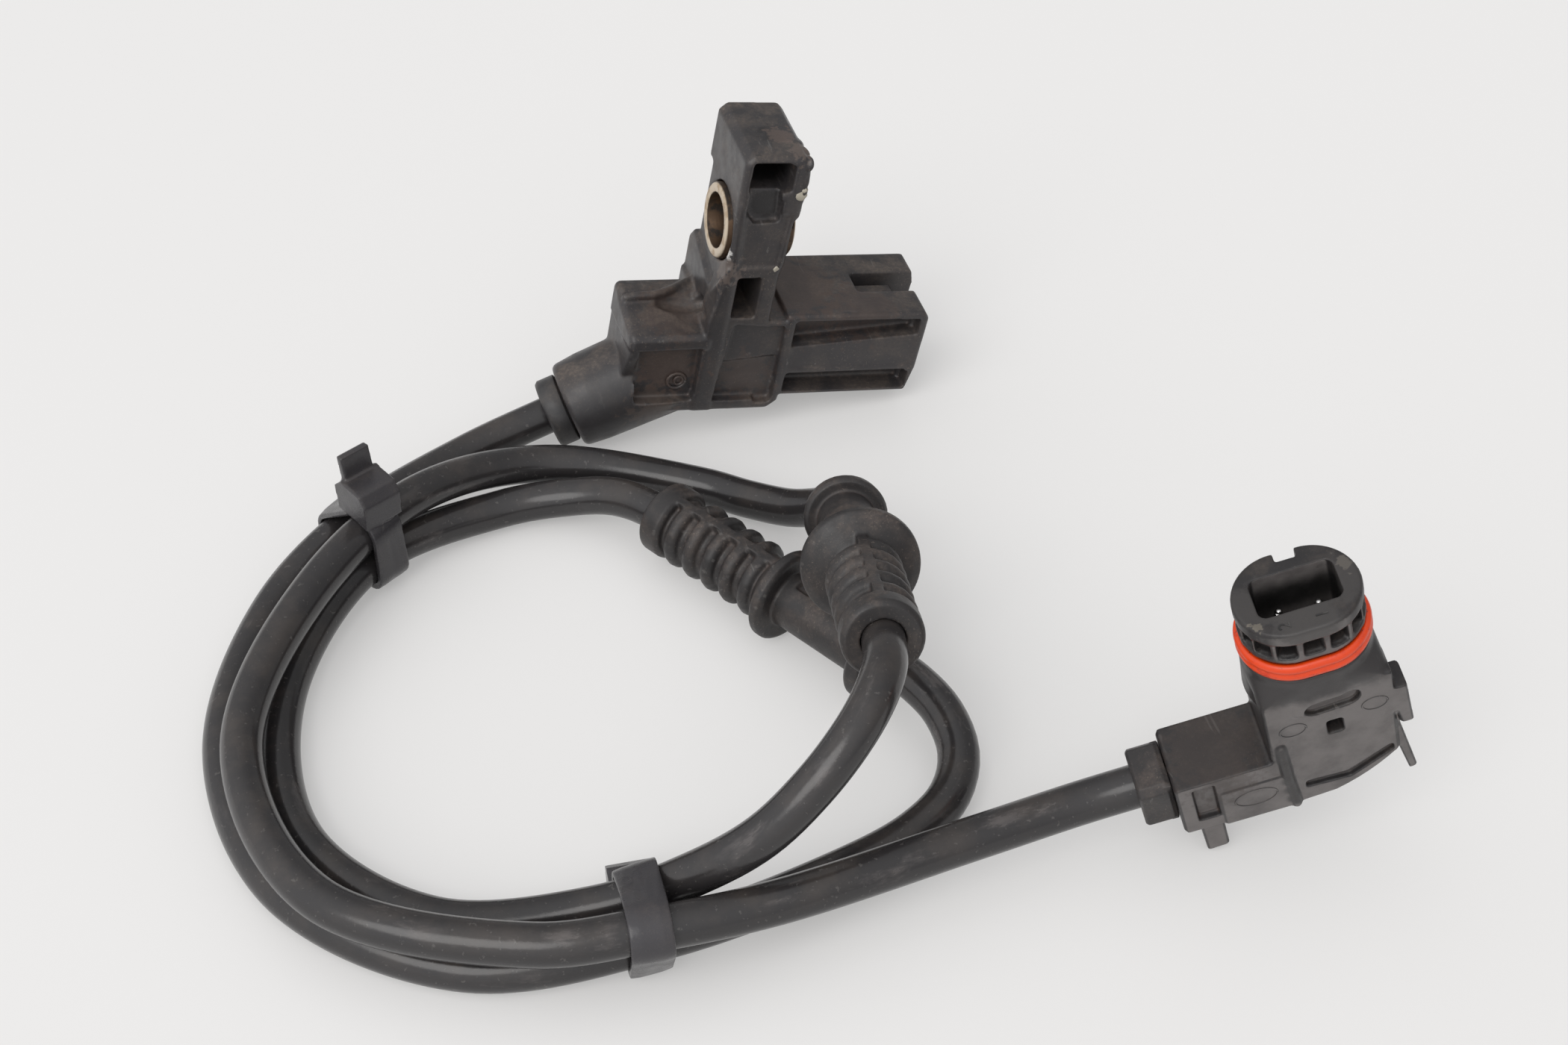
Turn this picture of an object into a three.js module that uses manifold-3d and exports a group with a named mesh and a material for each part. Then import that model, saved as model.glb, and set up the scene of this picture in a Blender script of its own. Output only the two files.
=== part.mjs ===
// A two-wire wheel speed sensor with its moulded cable, as it lies on a table.
// The head is a moulded body with a forked nose, a bolt lug with a steel bushing and a cable
// sleeve. The cable is wound in two and a half turns, held by two ties, carries two rubber
// grommets and ends in an angled two-pin connector with an oval, sealed plug.
// Millimetres, +Z up. The origin is on the table under the middle of the head.
import * as THREE from 'three';
import { mergeVertices } from 'three/addons/utils/BufferGeometryUtils.js';
import Module from 'manifold-3d';

const wasm = await Module();
wasm.setup();

// Clearances
const GAP = 0.3;              // between pieces that touch or are cut by each other
const SLIP = 0.2;             // round a bushing, a plug or a seal in its groove
const THROUGH = 1;            // how far a cutting tool runs past a face

// Head: nose, in the head's own frame (x along the nose, y to the back, z up the lug)
const HEAD_AT = [4.45, -7.05, 3.26];
const HEAD_PITCH = 10.7;      // degrees, nose down
const NOSE_LENGTH = 19.3;
const NOSE_DEPTH = 14.6;
const NOSE_BOTTOM = 2.2;
const NOSE_TOP = 15.4;
const BACK_PRONG_EXTRA = 1.3;
const FORK_START = 10.7;
const FORK_FRONT = 5.6;
const FORK_BACK = 9.9;
const FRAME = 1;              // the raised border round a recess
const RECESS = 1.2;           // depth of the recesses in the nose's face
const SLOT_RECESS = 2.4;      // depth of the lower groove in the nose's face
const RIB_LOW = 5.6;
const RIB_HIGH = 6.6;

// Head: middle body, cable side and hood
const BODY_LEFT = -22.2;
const BODY_DEPTH = 14.2;
const SIDE_DEPTH = 10.6;      // the cable side is shallower than the nose side
const BODY_TOP = 14.6;
const PANEL_DEPTH = 1;
const STEP_HEIGHT = 7;
const RIB_LEFT = -12.2;       // upright rib in line with the lug's front edge
const RIB_RIGHT = -9.5;
const HOOD_LEFT = -22.4;
const HOOD_TOP = 14.9;
const HOOD_LIP = 12.8;
const HOOD_UNDER = 10.8;

// Head: lug, bushing and top block
const LUG_LEFT = -11.1;
const LUG_RIGHT = -3.1;
const BLOCK_RIGHT = -2.4;
const LUG_DEPTH = 12.3;
const LUG_TOP = 33.2;
const BLOCK_TOP = 40.2;
const BLOCK_DEPTH = 14;
const POCKET_WIDTH = 5.1;
const POCKET_HEIGHT = 4.4;
const POCKET_DEPTH = 9;
const WINDOW_WIDTH = 3.2;
const WINDOW_LOW = 15.4;
const WINDOW_HIGH = 21.8;
const WINDOW_DEPTH = 8;
const APRON_TOP = 21.2;       // where the deeper foot of the lug ends
const BUSH_Y = 5.75;
const BUSH_Z = 27.2;
const BUSH_RADIUS = 5;
const BUSH_BORE = 3.6;
const BUSH_LENGTH = 9.4;
const BUSH_PROUD = 0.6;       // past the lug's cable side

// Head: cable sleeve, its seal and what runs inside
const SLEEVE_TILT = 27.3;     // degrees below the nose axis
const SLEEVE_END = [-27.45, 6, -2.9];
const SLEEVE_RADIUS = 5.9;
const SLEEVE_ROOT_RADIUS = 6.5;
const SLEEVE_LENGTH = 16;
const SLEEVE_BORE = 4.4;
const SEAL_PLUG_LENGTH = 8;
const SEAL_FLANGE_RADIUS = 4.75;
const SEAL_FLANGE_LENGTH = 3;
const CHANNEL_RADIUS = 3.4;
const CHANNEL_LENGTH = 28;
const CARRIER_START = -3;
const CARRIER_LENGTH = 20;
const CARRIER_FRONT = FORK_FRONT + 0.4;
const CARRIER_BACK = 8.9;
const CARRIER_BOTTOM = 3.6;
const CARRIER_TOP = 14;
const CHIP_LENGTH = 4;
const CHIP_HEIGHT = 5.4;
const CHIP_THICKNESS = 1.2;
const LEAD_WIDTH = 1;
const LEAD_THICKNESS = 0.5;
const LEAD_PITCH = 2.2;

// Cable
const CABLE_RADIUS = 2.5;
const CABLE_SIDES = 10;
const BORE_RADIUS = CABLE_RADIUS + GAP;

// Grommets
const TAIL_LENGTH = 22.3;
const SLEEVE_SPAN = 15.7;
const CORE_RADIUS = 3.6;
const RIB_RADIUS = 4.8;
const RIB_WIDTH = 2.3;
const RIB_PITCH = 6.2;
const RIB_COUNT = 3;
const COLLAR_LENGTH = 3.4;
const FLANGE_RADIUS = 6;
const END_FLANGE_RADIUS = 5.7;
const WIDE_FLANGE_RADIUS = 7.2;
const FLANGE_THICKNESS = 2.2;

// Ties
const STRAP_WIDTH = 4.8;
const STRAP_THICKNESS = 1.2;
const TIE_1 = { at: [-53.4, -19.6, 0], heading: 206, seat: [2, 13], turn: 0, head: [6.4, 5.2, 5], tail: 5 };
const TIE_2 = { at: [-34.6, -88.6, 0], heading: -4, seat: [7, 2.9], turn: -90, head: [5.2, 5.2, 4.2], tail: 1.6 };

// Connector, in its own frame (x along the arm from the boot's end, y to the back, z up the plug)
const PLUG_AT = [22.2, -89.2, 10.1];
const PLUG_X = [0.9458, -0.1515, 0.2873];
const PLUG_Z = [-0.3001, -0.0693, 0.9514];
const BOOT_LENGTH = 3.6;
const BOOT_HALF = 3.5;
const ARM_START = BOOT_LENGTH + 0.3;
const ARM_HALF = 4.4;
const ARM_BOTTOM = -5.8;
const ARM_TOP = 3.3;
const PLATE_LEFT = 15;
const PLATE_RIGHT = 29;
const PLATE_TOP = 13.8;
const PLATE_BACK = 5.4;
const BARREL_X = 21.75;
const BARREL_Y = 1;
const BARREL_BASE = 11.5;
const SEAL_LOW = 18.3;
const SEAL_HIGH = 20.7;
const RIM_LOW = 24.2;
const RIM_HIGH = 26.2;
const RIM_LENGTH = 13.7;
const RIM_WIDTH = 10.9;
const BASE_LENGTH = 14.8;
const BASE_WIDTH = 11.8;
const NECK_LENGTH = 12.4;
const NECK_WIDTH = 9.6;
const SEAL_LENGTH = 14.5;
const SEAL_WIDTH = 11.7;
const SOCKET_LENGTH = 9;
const SOCKET_WIDTH = 5;
const SOCKET_DEPTH = 9;
const KEY_WIDTH = 2.3;
const KEY_DEPTH = 1.3;
const PIN_PITCH = 4.4;
const PIN_WIDTH = 1;
const PIN_TIP = 22.2;
const PIN_TAIL = 9.5;

// Colours
const BLACK_PLASTIC = 0x3b3936;
const BLACK_RUBBER = 0x2b2a29;
const CABLE_BLACK = 0x1f1f20;
const ZINC = 0xb49a6a;
const TIN = 0xb8b9b8;
const ORANGE = 0xf4571c;

// Route of the cable's centre from inside the head's sleeve to the connector's boot. The two
// straight stretches inside the grommets are given by the tail's end and a direction.
const LOWER = stretch([-16.34, -26.57, 6.3], [0.504, -0.864, 0]);
const UPPER = stretch([-2.83, -73.79, 25.72], [0.176, 0.903, -0.347]);
const ROUTE = [
  [-17.46, -1.05, 7.15], [-26.06, -1.05, 4.6], [-38.3, -4.4, 3.4], [-54.5, -14.2, 4.3],
  [-66.8, -25.8, 2.9], [-75.5, -47.8, 2.6], [-71.5, -71.1, 2.6], [-54.0, -87.0, 2.7],
  [-32.5, -90.0, 4.3], [-13.0, -86.3, 3.0], [-1.4, -82.6, 2.7], [4.3, -78.8, 3.2],
  [7.0, -74.0, 4.2], [7.0, -68.5, 5.4], [5.3, -63.8, 6.1],
  ...inside(LOWER).reverse(),
  [-21.3, -20.6, 5.5], [-27.3, -17.3, 4.0], [-36.0, -16.0, 3.0], [-53.6, -22.2, 4.3],
  [-67.1, -40.4, 2.6], [-68.4, -63.9, 2.6], [-56.2, -79.2, 2.7], [-39.2, -84.2, 4.5],
  [-28.7, -86.7, 9.5], [-21.1, -88.6, 15.7], [-15.2, -87.9, 21.0], [-10.7, -85.9, 24.6],
  [-7.3, -83.1, 26.6], [-4.6, -79.2, 27.1],
  ...inside(UPPER),
  [3.9, -34.9, 10.0], [2.5, -32.3, 7.7], [-0.1, -28.9, 5.3], [-4.4, -23.8, 3.5],
  [-9.5, -19.0, 3.0], [-28.5, -11.1, 5.0], [-45.8, -16.7, 9.2], [-62.2, -31.2, 9.2],
  [-73.2, -52.2, 7.6], [-68.0, -77.1, 8.0], [-47.3, -90.3, 8.7], [-34.6, -92.4, 9.3],
  [-20.6, -92.4, 8.8], [3.3, -89.4, 7.9], [16.1, -88.4, 8.4], [24.6, -89.6, 10.9],
];

// A straight stretch of the cable through a grommet: its tail's end and its direction
function stretch(tail, direction) {
  return { tail: new THREE.Vector3(...tail), along: new THREE.Vector3(...direction).normalize() };
}

// Four route points in line, which keep the cable straight inside a grommet
function inside({ tail, along }) {
  const length = TAIL_LENGTH + SLEEVE_SPAN;
  return [0, 1, 2, 3].map((k) => tail.clone().addScaledVector(along, (k * length) / 3).toArray());
}

// A curve whose even stations fall on its points, so straight stretches stay straight
class StationCurve extends THREE.CatmullRomCurve3 {
  getUtoTmapping(u) {
    return u;
  }
}

const route = new StationCurve(ROUTE.map((p) => new THREE.Vector3(...p)));
const ROUTE_STEPS = 2 * (ROUTE.length - 1);

// Solids from three.js geometry, joined and cut by booleans
function solid(geometry) {
  const bare = geometry.clone();
  bare.deleteAttribute('normal');
  bare.deleteAttribute('uv');
  const merged = mergeVertices(bare, 1e-4);
  const index = merged.index.array;
  const kept = [];
  for (let i = 0; i < index.length; i += 3) {
    const [a, b, c] = index.slice(i, i + 3);
    if (a !== b && b !== c && c !== a) kept.push(a, b, c);
  }
  return new wasm.Manifold(new wasm.Mesh({
    numProp: 3,
    vertProperties: new Float32Array(merged.attributes.position.array),
    triVerts: new Uint32Array(kept),
  }));
}

function geometryOf(body) {
  const mesh = body.getMesh();
  const geometry = new THREE.BufferGeometry();
  geometry.setAttribute('position', new THREE.BufferAttribute(new Float32Array(mesh.vertProperties), 3));
  geometry.setIndex(new THREE.BufferAttribute(new Uint32Array(mesh.triVerts), 1));
  geometry.computeVertexNormals();
  return geometry;
}

function union(...bodies) {
  return bodies.reduce((a, b) => a.add(b));
}

function cut(body, ...tools) {
  return tools.reduce((a, b) => a.subtract(b), body);
}

// Slabs: an outline in one plane, given a thickness along the third axis, edges softened
const XZ = new THREE.Matrix4().makeBasis(
  new THREE.Vector3(1, 0, 0), new THREE.Vector3(0, 0, 1), new THREE.Vector3(0, -1, 0));
const YZ = new THREE.Matrix4().makeBasis(
  new THREE.Vector3(0, 1, 0), new THREE.Vector3(0, 0, 1), new THREE.Vector3(1, 0, 0));

function extrude(shape, depth, soft = 0) {
  const geometry = new THREE.ExtrudeGeometry(shape, {
    depth: depth - 2 * soft,
    bevelEnabled: soft > 0,
    bevelThickness: soft,
    bevelSize: soft,
    bevelOffset: -soft,
    bevelSegments: 1,
    curveSegments: 6,
  });
  return geometry.translate(0, 0, soft);
}

function outline(points) {
  return new THREE.Shape(points.map(([a, b]) => new THREE.Vector2(a, b)));
}

function slabXZ(points, y0, y1, soft) {
  return solid(extrude(outline(points), y1 - y0, soft).applyMatrix4(XZ).translate(0, y1, 0));
}

function slabYZ(points, x0, x1, soft) {
  return solid(extrude(outline(points), x1 - x0, soft).applyMatrix4(YZ).translate(x0, 0, 0));
}

function slabXY(shape, z0, z1, soft) {
  return solid(extrude(shape, z1 - z0, soft).translate(0, 0, z0));
}

function box(x0, x1, y0, y1, z0, z1, soft) {
  return slabXZ([[x0, z0], [x1, z0], [x1, z1], [x0, z1]], y0, y1, soft);
}

// A rectangle with rounded corners; a radius of half its width makes a long oval
function roundedRect(cx, cy, length, width, radius) {
  const r = Math.min(radius, length / 2, width / 2);
  const steps = 5;
  const points = [];
  [[1, -1], [1, 1], [-1, 1], [-1, -1]].forEach(([sx, sy], corner) => {
    for (let i = 0; i <= steps; i++) {
      const angle = ((corner - 1 + i / steps) * Math.PI) / 2;
      const x = cx + sx * (length / 2 - r) + r * Math.cos(angle);
      const y = cy + sy * (width / 2 - r) + r * Math.sin(angle);
      const near = points.some(([a, b]) => Math.hypot(a - x, b - y) < 1e-3);
      if (!near) points.push([x, y]);
    }
  });
  return outline(points);
}

// A turned solid from a closed profile of [radius, station], its axis along +X
function turned(profile, sides = 28) {
  const points = profile.map(([r, s]) => new THREE.Vector2(r, s));
  return solid(new THREE.LatheGeometry(points, sides).rotateZ(-Math.PI / 2));
}

// A tube of given radii from station s0 to s1
function ring(outer, inner, s0, s1, soft = 0, sides = 28) {
  return turned([
    [inner, s0], [outer - soft, s0], [outer, s0 + soft], [outer, s1 - soft], [outer - soft, s1],
    [inner, s1], [inner, s0],
  ], sides);
}

function rod(radius, s0, s1, sides = 28) {
  return turned([[0, s0], [radius, s0], [radius, s1], [0, s1]], sides);
}

// The sleeve's axis, seen from the head: stations count outward from the sleeve's end
function alongSleeve(body) {
  return body.rotate([0, 180 - SLEEVE_TILT, 0]).translate(SLEEVE_END);
}

function moulding() {
  return new THREE.MeshStandardMaterial({ color: BLACK_PLASTIC, roughness: 0.62, metalness: 0 });
}

function rubber() {
  return new THREE.MeshStandardMaterial({ color: BLACK_RUBBER, roughness: 0.75, metalness: 0 });
}

function metal(color) {
  return new THREE.MeshStandardMaterial({ color, roughness: 0.4, metalness: 0.85 });
}

const part = new THREE.Group();
const head = new THREE.Group();
head.position.set(...HEAD_AT);
head.rotation.y = THREE.MathUtils.degToRad(HEAD_PITCH);
const cord = new THREE.Group();
const plug = new THREE.Group();
part.add(head, cord, plug);

function add(group, name, body, material) {
  const mesh = new THREE.Mesh(body.isBufferGeometry ? body : geometryOf(body), material);
  mesh.name = name;
  group.add(mesh);
  return mesh;
}

// Nose: two prongs with a fork between them, and recesses in the front face
function nose() {
  const tip = NOSE_LENGTH;
  const front = slabXZ(
    [[-1, NOSE_BOTTOM], [tip - 0.8, NOSE_BOTTOM], [tip, NOSE_BOTTOM + 4], [tip + 0.2, NOSE_TOP - 1],
      [tip - 0.5, NOSE_TOP], [-1, NOSE_TOP]], 0, FORK_BACK, 0.4);
  const back = slabXZ(
    [[-1, NOSE_BOTTOM], [tip + BACK_PRONG_EXTRA - 0.8, NOSE_BOTTOM], [tip + BACK_PRONG_EXTRA, NOSE_TOP - 2],
      [tip + BACK_PRONG_EXTRA - 0.5, NOSE_TOP], [-1, NOSE_TOP]], FORK_BACK - 1, NOSE_DEPTH, 0.4);
  const fork = box(FORK_START, tip + BACK_PRONG_EXTRA + THROUGH, FORK_FRONT, FORK_BACK,
    NOSE_BOTTOM - THROUGH, NOSE_TOP + THROUGH);
  const upper = box(0.4, tip - FRAME, -THROUGH, RECESS, RIB_HIGH, NOSE_TOP - FRAME);
  const ledge = box(1.6, tip - FRAME, -THROUGH, RECESS + 0.8, NOSE_TOP - FRAME - 2.6, NOSE_TOP - FRAME);
  const lower = box(0.4, tip - FRAME, -THROUGH, SLOT_RECESS, NOSE_BOTTOM + 0.5, RIB_LOW);
  return cut(union(front, back), fork, upper, ledge, lower);
}

// Middle body with its two recessed panels and the upright rib between them
function middle() {
  const core = slabXZ(
    [[RIB_LEFT, 0], [-1.4, 0], [0, 1.2], [0.4, BODY_TOP], [RIB_LEFT, BODY_TOP]], 0, BODY_DEPTH, 0.4);
  const side = slabXZ(
    [[BODY_LEFT, 1.5], [BODY_LEFT + 3, 0], [RIB_LEFT + 1, 0], [RIB_LEFT + 1, HOOD_TOP - 2],
      [BODY_LEFT, HOOD_TOP - 2]], 0, SIDE_DEPTH, 0.4);
  const panel = box(RIB_RIGHT, -1.1, -THROUGH, PANEL_DEPTH, 1.1, BODY_TOP - 0.8);
  const step = box(RIB_RIGHT, -1.1, -THROUGH, PANEL_DEPTH + 0.5, 1.1, STEP_HEIGHT);
  const bay = slabXZ(
    [[-20.4, 1.5], [RIB_LEFT, 1.5], [RIB_LEFT, HOOD_UNDER], [-19.2, HOOD_UNDER]],
    -THROUGH, PANEL_DEPTH + 0.4);
  const flank = slabYZ([[-1, -1], [4.2, -1], [-1, 12]], BODY_LEFT - THROUGH, -20.6);
  return cut(union(core, side), panel, step, bay, flank);
}

// Hood over the cable side, sloping to a rounded lip at the front, with a raised back edge
function hood() {
  const roof = slabYZ(
    [[-0.4, HOOD_UNDER], [0.4, HOOD_UNDER - 0.6], [SIDE_DEPTH, HOOD_UNDER - 1],
      [SIDE_DEPTH, HOOD_TOP - 0.6], [SIDE_DEPTH - 0.6, HOOD_TOP], [SIDE_DEPTH - 2.4, HOOD_TOP],
      [SIDE_DEPTH - 3.6, HOOD_TOP - 0.9], [0.2, HOOD_LIP], [-0.4, HOOD_LIP - 0.6]],
    HOOD_LEFT, LUG_LEFT, 0.5);
  const apron = slabYZ(
    [[0, 8], [BODY_DEPTH, 8], [BODY_DEPTH, 19.3], [LUG_DEPTH + 0.4, APRON_TOP], [2.8, 18], [0, 22.5]],
    LUG_LEFT - 0.6, LUG_LEFT + 1, 0.2);
  return union(roof, apron);
}

// Lug with the bushing's hole, the window at its foot and the pocketed block on top
function lug() {
  const plate = slabXZ(
    [[LUG_LEFT, 0], [LUG_RIGHT - 0.4, BODY_TOP - 1], [LUG_RIGHT - 0.4, 22], [LUG_RIGHT, 24],
      [LUG_RIGHT, LUG_TOP - 3], [BLOCK_RIGHT, LUG_TOP - 2], [BLOCK_RIGHT, LUG_TOP], [LUG_LEFT, LUG_TOP]],
    0, LUG_DEPTH, 0.4);
  const foot = slabXZ(
    [[LUG_LEFT, 0], [LUG_RIGHT - 0.4, 0], [LUG_RIGHT - 0.4, APRON_TOP - 1.6], [LUG_LEFT, APRON_TOP - 1.6]],
    0, BODY_DEPTH, 0.4);
  const block = slabXZ(
    [[LUG_LEFT, LUG_TOP - 1], [BLOCK_RIGHT, LUG_TOP - 1], [BLOCK_RIGHT, BLOCK_TOP - 0.9],
      [BLOCK_RIGHT - 0.9, BLOCK_TOP], [LUG_LEFT + 1, BLOCK_TOP], [LUG_LEFT, BLOCK_TOP - 1]],
    0, BLOCK_DEPTH, 0.6);
  const rib = slabXZ(
    [[RIB_LEFT, 0.2], [RIB_RIGHT, 0.2], [RIB_RIGHT, 22], [LUG_LEFT + 0.8, 24], [LUG_LEFT, 24],
      [LUG_LEFT, 21], [RIB_LEFT, 15]], -0.2, 4, 0.2);
  const pocketLeft = LUG_LEFT + 1.1;
  const pocket = box(pocketLeft, pocketLeft + POCKET_WIDTH, -THROUGH, POCKET_DEPTH,
    BLOCK_TOP - 0.9 - POCKET_HEIGHT, BLOCK_TOP - 0.9);
  const face = slabXZ(
    [[LUG_LEFT + 1.6, 23.4], [LUG_RIGHT - 1, 23.4], [LUG_RIGHT - 0.6, LUG_TOP - 1.6],
      [LUG_LEFT + 1.2, LUG_TOP - 0.6]], -THROUGH, 0.35);
  const windowLeft = -9.1;
  const opening = box(windowLeft, windowLeft + WINDOW_WIDTH, -THROUGH, WINDOW_DEPTH,
    WINDOW_LOW, WINDOW_HIGH);
  const hole = rod(BUSH_RADIUS + SLIP, LUG_LEFT - THROUGH, LUG_RIGHT + THROUGH, 32)
    .translate([0, BUSH_Y, BUSH_Z]);
  return { body: union(plate, foot, block, rib), tools: [pocket, face, opening, hole] };
}

function sleeve() {
  const outer = turned([
    [0, -SLEEVE_LENGTH], [SLEEVE_ROOT_RADIUS, -SLEEVE_LENGTH], [SLEEVE_RADIUS + 0.3, -3.5],
    [SLEEVE_RADIUS, -0.5], [SLEEVE_RADIUS - 0.4, 0], [0, 0],
  ], 32);
  return alongSleeve(outer);
}

function carrierPocket() {
  return box(CARRIER_START - GAP, FORK_START + THROUGH, CARRIER_FRONT - GAP, CARRIER_BACK + GAP,
    CARRIER_BOTTOM - GAP, CARRIER_TOP + GAP);
}

function sensorHousing() {
  const { body, tools } = lug();
  const whole = union(middle(), nose(), hood(), body, sleeve());
  const sealBore = alongSleeve(rod(SLEEVE_BORE + SLIP, -SEAL_PLUG_LENGTH - GAP, THROUGH));
  const channel = alongSleeve(rod(CHANNEL_RADIUS, -CHANNEL_LENGTH, -2));
  return cut(whole, ...tools, sealBore, channel, carrierPocket());
}

add(head, 'sensor_housing', sensorHousing(), moulding());

const bushLeft = LUG_LEFT - BUSH_PROUD;
add(head, 'mounting_bushing',
  ring(BUSH_RADIUS, BUSH_BORE, bushLeft, bushLeft + BUSH_LENGTH, 0.3, 32)
    .translate([0, BUSH_Y, BUSH_Z]),
  metal(ZINC));

// Rubber seal in the sleeve's mouth: a plug inside and a flange that shows outside
const cableSeal = turned([
  [BORE_RADIUS, -SEAL_PLUG_LENGTH], [SLEEVE_BORE - 0.4, -SEAL_PLUG_LENGTH],
  [SLEEVE_BORE, -SEAL_PLUG_LENGTH + 0.6], [SLEEVE_BORE, GAP], [SEAL_FLANGE_RADIUS, GAP],
  [SEAL_FLANGE_RADIUS, SEAL_FLANGE_LENGTH - 0.4], [SEAL_FLANGE_RADIUS - 0.4, SEAL_FLANGE_LENGTH],
  [BORE_RADIUS, SEAL_FLANGE_LENGTH], [BORE_RADIUS, -SEAL_PLUG_LENGTH],
]);
add(head, 'cable_seal', alongSleeve(cableSeal), rubber());

// Chip carrier: the tongue between the prongs, with a pocket for the chip in its back face
const carrierEnd = CARRIER_START + CARRIER_LENGTH;
const chipLeft = carrierEnd - 1.2 - CHIP_LENGTH;
const leadMiddle = (CARRIER_BOTTOM + CARRIER_TOP) / 2 - 0.8;
const leadFace = CARRIER_BACK - CHIP_THICKNESS;
const carrier = cut(
  slabXZ([[CARRIER_START, CARRIER_BOTTOM], [carrierEnd - 0.6, CARRIER_BOTTOM], [carrierEnd, CARRIER_BOTTOM + 1],
    [carrierEnd, CARRIER_TOP - 0.6], [carrierEnd - 0.6, CARRIER_TOP], [CARRIER_START, CARRIER_TOP]],
  CARRIER_FRONT, CARRIER_BACK, 0.2),
  box(CARRIER_START - THROUGH, chipLeft + CHIP_LENGTH + GAP, leadFace - GAP, CARRIER_BACK + THROUGH,
    leadMiddle - CHIP_HEIGHT / 2 - GAP, leadMiddle + CHIP_HEIGHT / 2 + GAP));
add(head, 'chip_carrier', carrier, moulding());
add(head, 'sensing_chip',
  box(chipLeft, chipLeft + CHIP_LENGTH, leadFace, CARRIER_BACK,
    leadMiddle - CHIP_HEIGHT / 2, leadMiddle + CHIP_HEIGHT / 2, 0.1),
  moulding());

// Two flat leads from the chip along the carrier and down the channel to the cable's end
const sleeveSlope = Math.tan(THREE.MathUtils.degToRad(SLEEVE_TILT));
function lead(side) {
  const z = leadMiddle + side * LEAD_PITCH / 2;
  const half = LEAD_WIDTH / 2;
  const bend = -7;
  const end = -19;
  const drop = (bend - end) * sleeveSlope;
  return slabXZ([
    [end, z - drop - half], [bend, z - half], [chipLeft - GAP, z - half], [chipLeft - GAP, z + half],
    [bend, z + half], [end, z - drop + half],
  ], leadFace, leadFace + LEAD_THICKNESS);
}
add(head, 'chip_lead_1', lead(-1), metal(TIN));
add(head, 'chip_lead_2', lead(1), metal(TIN));

// Cable
function circle(radius, sides) {
  const points = [];
  for (let i = 0; i < sides; i++) {
    const angle = (2 * Math.PI * i) / sides;
    points.push([radius * Math.cos(angle), radius * Math.sin(angle)]);
  }
  return points;
}

add(cord, 'cable',
  new THREE.ExtrudeGeometry(outline(circle(CABLE_RADIUS, CABLE_SIDES)),
    { steps: ROUTE_STEPS, extrudePath: route, bevelEnabled: false }),
  new THREE.MeshStandardMaterial({ color: CABLE_BLACK, roughness: 0.35, metalness: 0 }));

// Grommet: a collar, a tail of half ribs that alternate from side to side with a web joining
// them, a flange, a plain sleeve and a second flange. Its axis is +X from the tail's end.
function halfRib(station, side) {
  const shape = new THREE.Shape();
  const reach = 1.75;
  shape.absarc(0, 0, RIB_RADIUS, -reach, reach, false);
  shape.absarc(0, 0, CORE_RADIUS - 0.5, reach, -reach, true);
  const rib = solid(extrude(shape, RIB_WIDTH, 0.3).applyMatrix4(YZ).translate(station, 0, 0));
  return side > 0 ? rib : rib.mirror([0, 1, 0]);
}

function grommet(flangeRadius) {
  const total = TAIL_LENGTH + SLEEVE_SPAN;
  const f = FLANGE_THICKNESS;
  const tail = TAIL_LENGTH;
  const body = turned([
    [BORE_RADIUS, 0], [RIB_RADIUS - 0.5, 0], [RIB_RADIUS, 0.5], [RIB_RADIUS, COLLAR_LENGTH - 0.5],
    [RIB_RADIUS - 0.5, COLLAR_LENGTH], [CORE_RADIUS, COLLAR_LENGTH], [CORE_RADIUS, tail - f - 1],
    [flangeRadius - 1, tail - f], [flangeRadius, tail - f + 0.7], [flangeRadius, tail - 0.5],
    [flangeRadius - 0.5, tail], [CORE_RADIUS, tail], [CORE_RADIUS, total - f],
    [END_FLANGE_RADIUS - 0.4, total - f], [END_FLANGE_RADIUS, total - f + 0.5], [END_FLANGE_RADIUS - 0.3, total],
    [BORE_RADIUS, total], [BORE_RADIUS, 0],
  ]);
  const parts = [body];
  const first = COLLAR_LENGTH + 0.9;
  for (let i = 0; i < RIB_COUNT; i++) {
    parts.push(halfRib(first + i * RIB_PITCH, 1));
    if (i + 1 < RIB_COUNT || first + (i + 0.5) * RIB_PITCH + RIB_WIDTH < tail - f - 1) {
      parts.push(halfRib(first + (i + 0.5) * RIB_PITCH, -1));
    }
  }
  const webHalf = 0.7;
  for (const side of [-1, 1]) {
    const low = side < 0 ? -RIB_RADIUS + 0.4 : CORE_RADIUS - 0.5;
    parts.push(box(COLLAR_LENGTH - 0.4, tail - f - 0.6, -webHalf, webHalf, low,
      low + RIB_RADIUS - CORE_RADIUS + 0.1));
  }
  const dimple = box(tail + 1.6, tail + 4, -0.8, 0.8, CORE_RADIUS - 0.45, CORE_RADIUS + 1);
  const passage = rod(BORE_RADIUS, -THROUGH, total + THROUGH);
  return cut(union(...parts), dimple, passage);
}

function onStretch({ tail, along }, body, up) {
  const z = up.clone().addScaledVector(along, -up.dot(along)).normalize();
  const y = new THREE.Vector3().crossVectors(z, along);
  const matrix = new THREE.Matrix4().makeBasis(along, y, z).setPosition(tail);
  return geometryOf(body).applyMatrix4(matrix);
}

const UP = new THREE.Vector3(0, 0, 1);
add(cord, 'lower_grommet', onStretch(LOWER, grommet(FLANGE_RADIUS), UP), rubber());
add(cord, 'upper_grommet', onStretch(UPPER, grommet(WIDE_FLANGE_RADIUS), UP), rubber());

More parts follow.
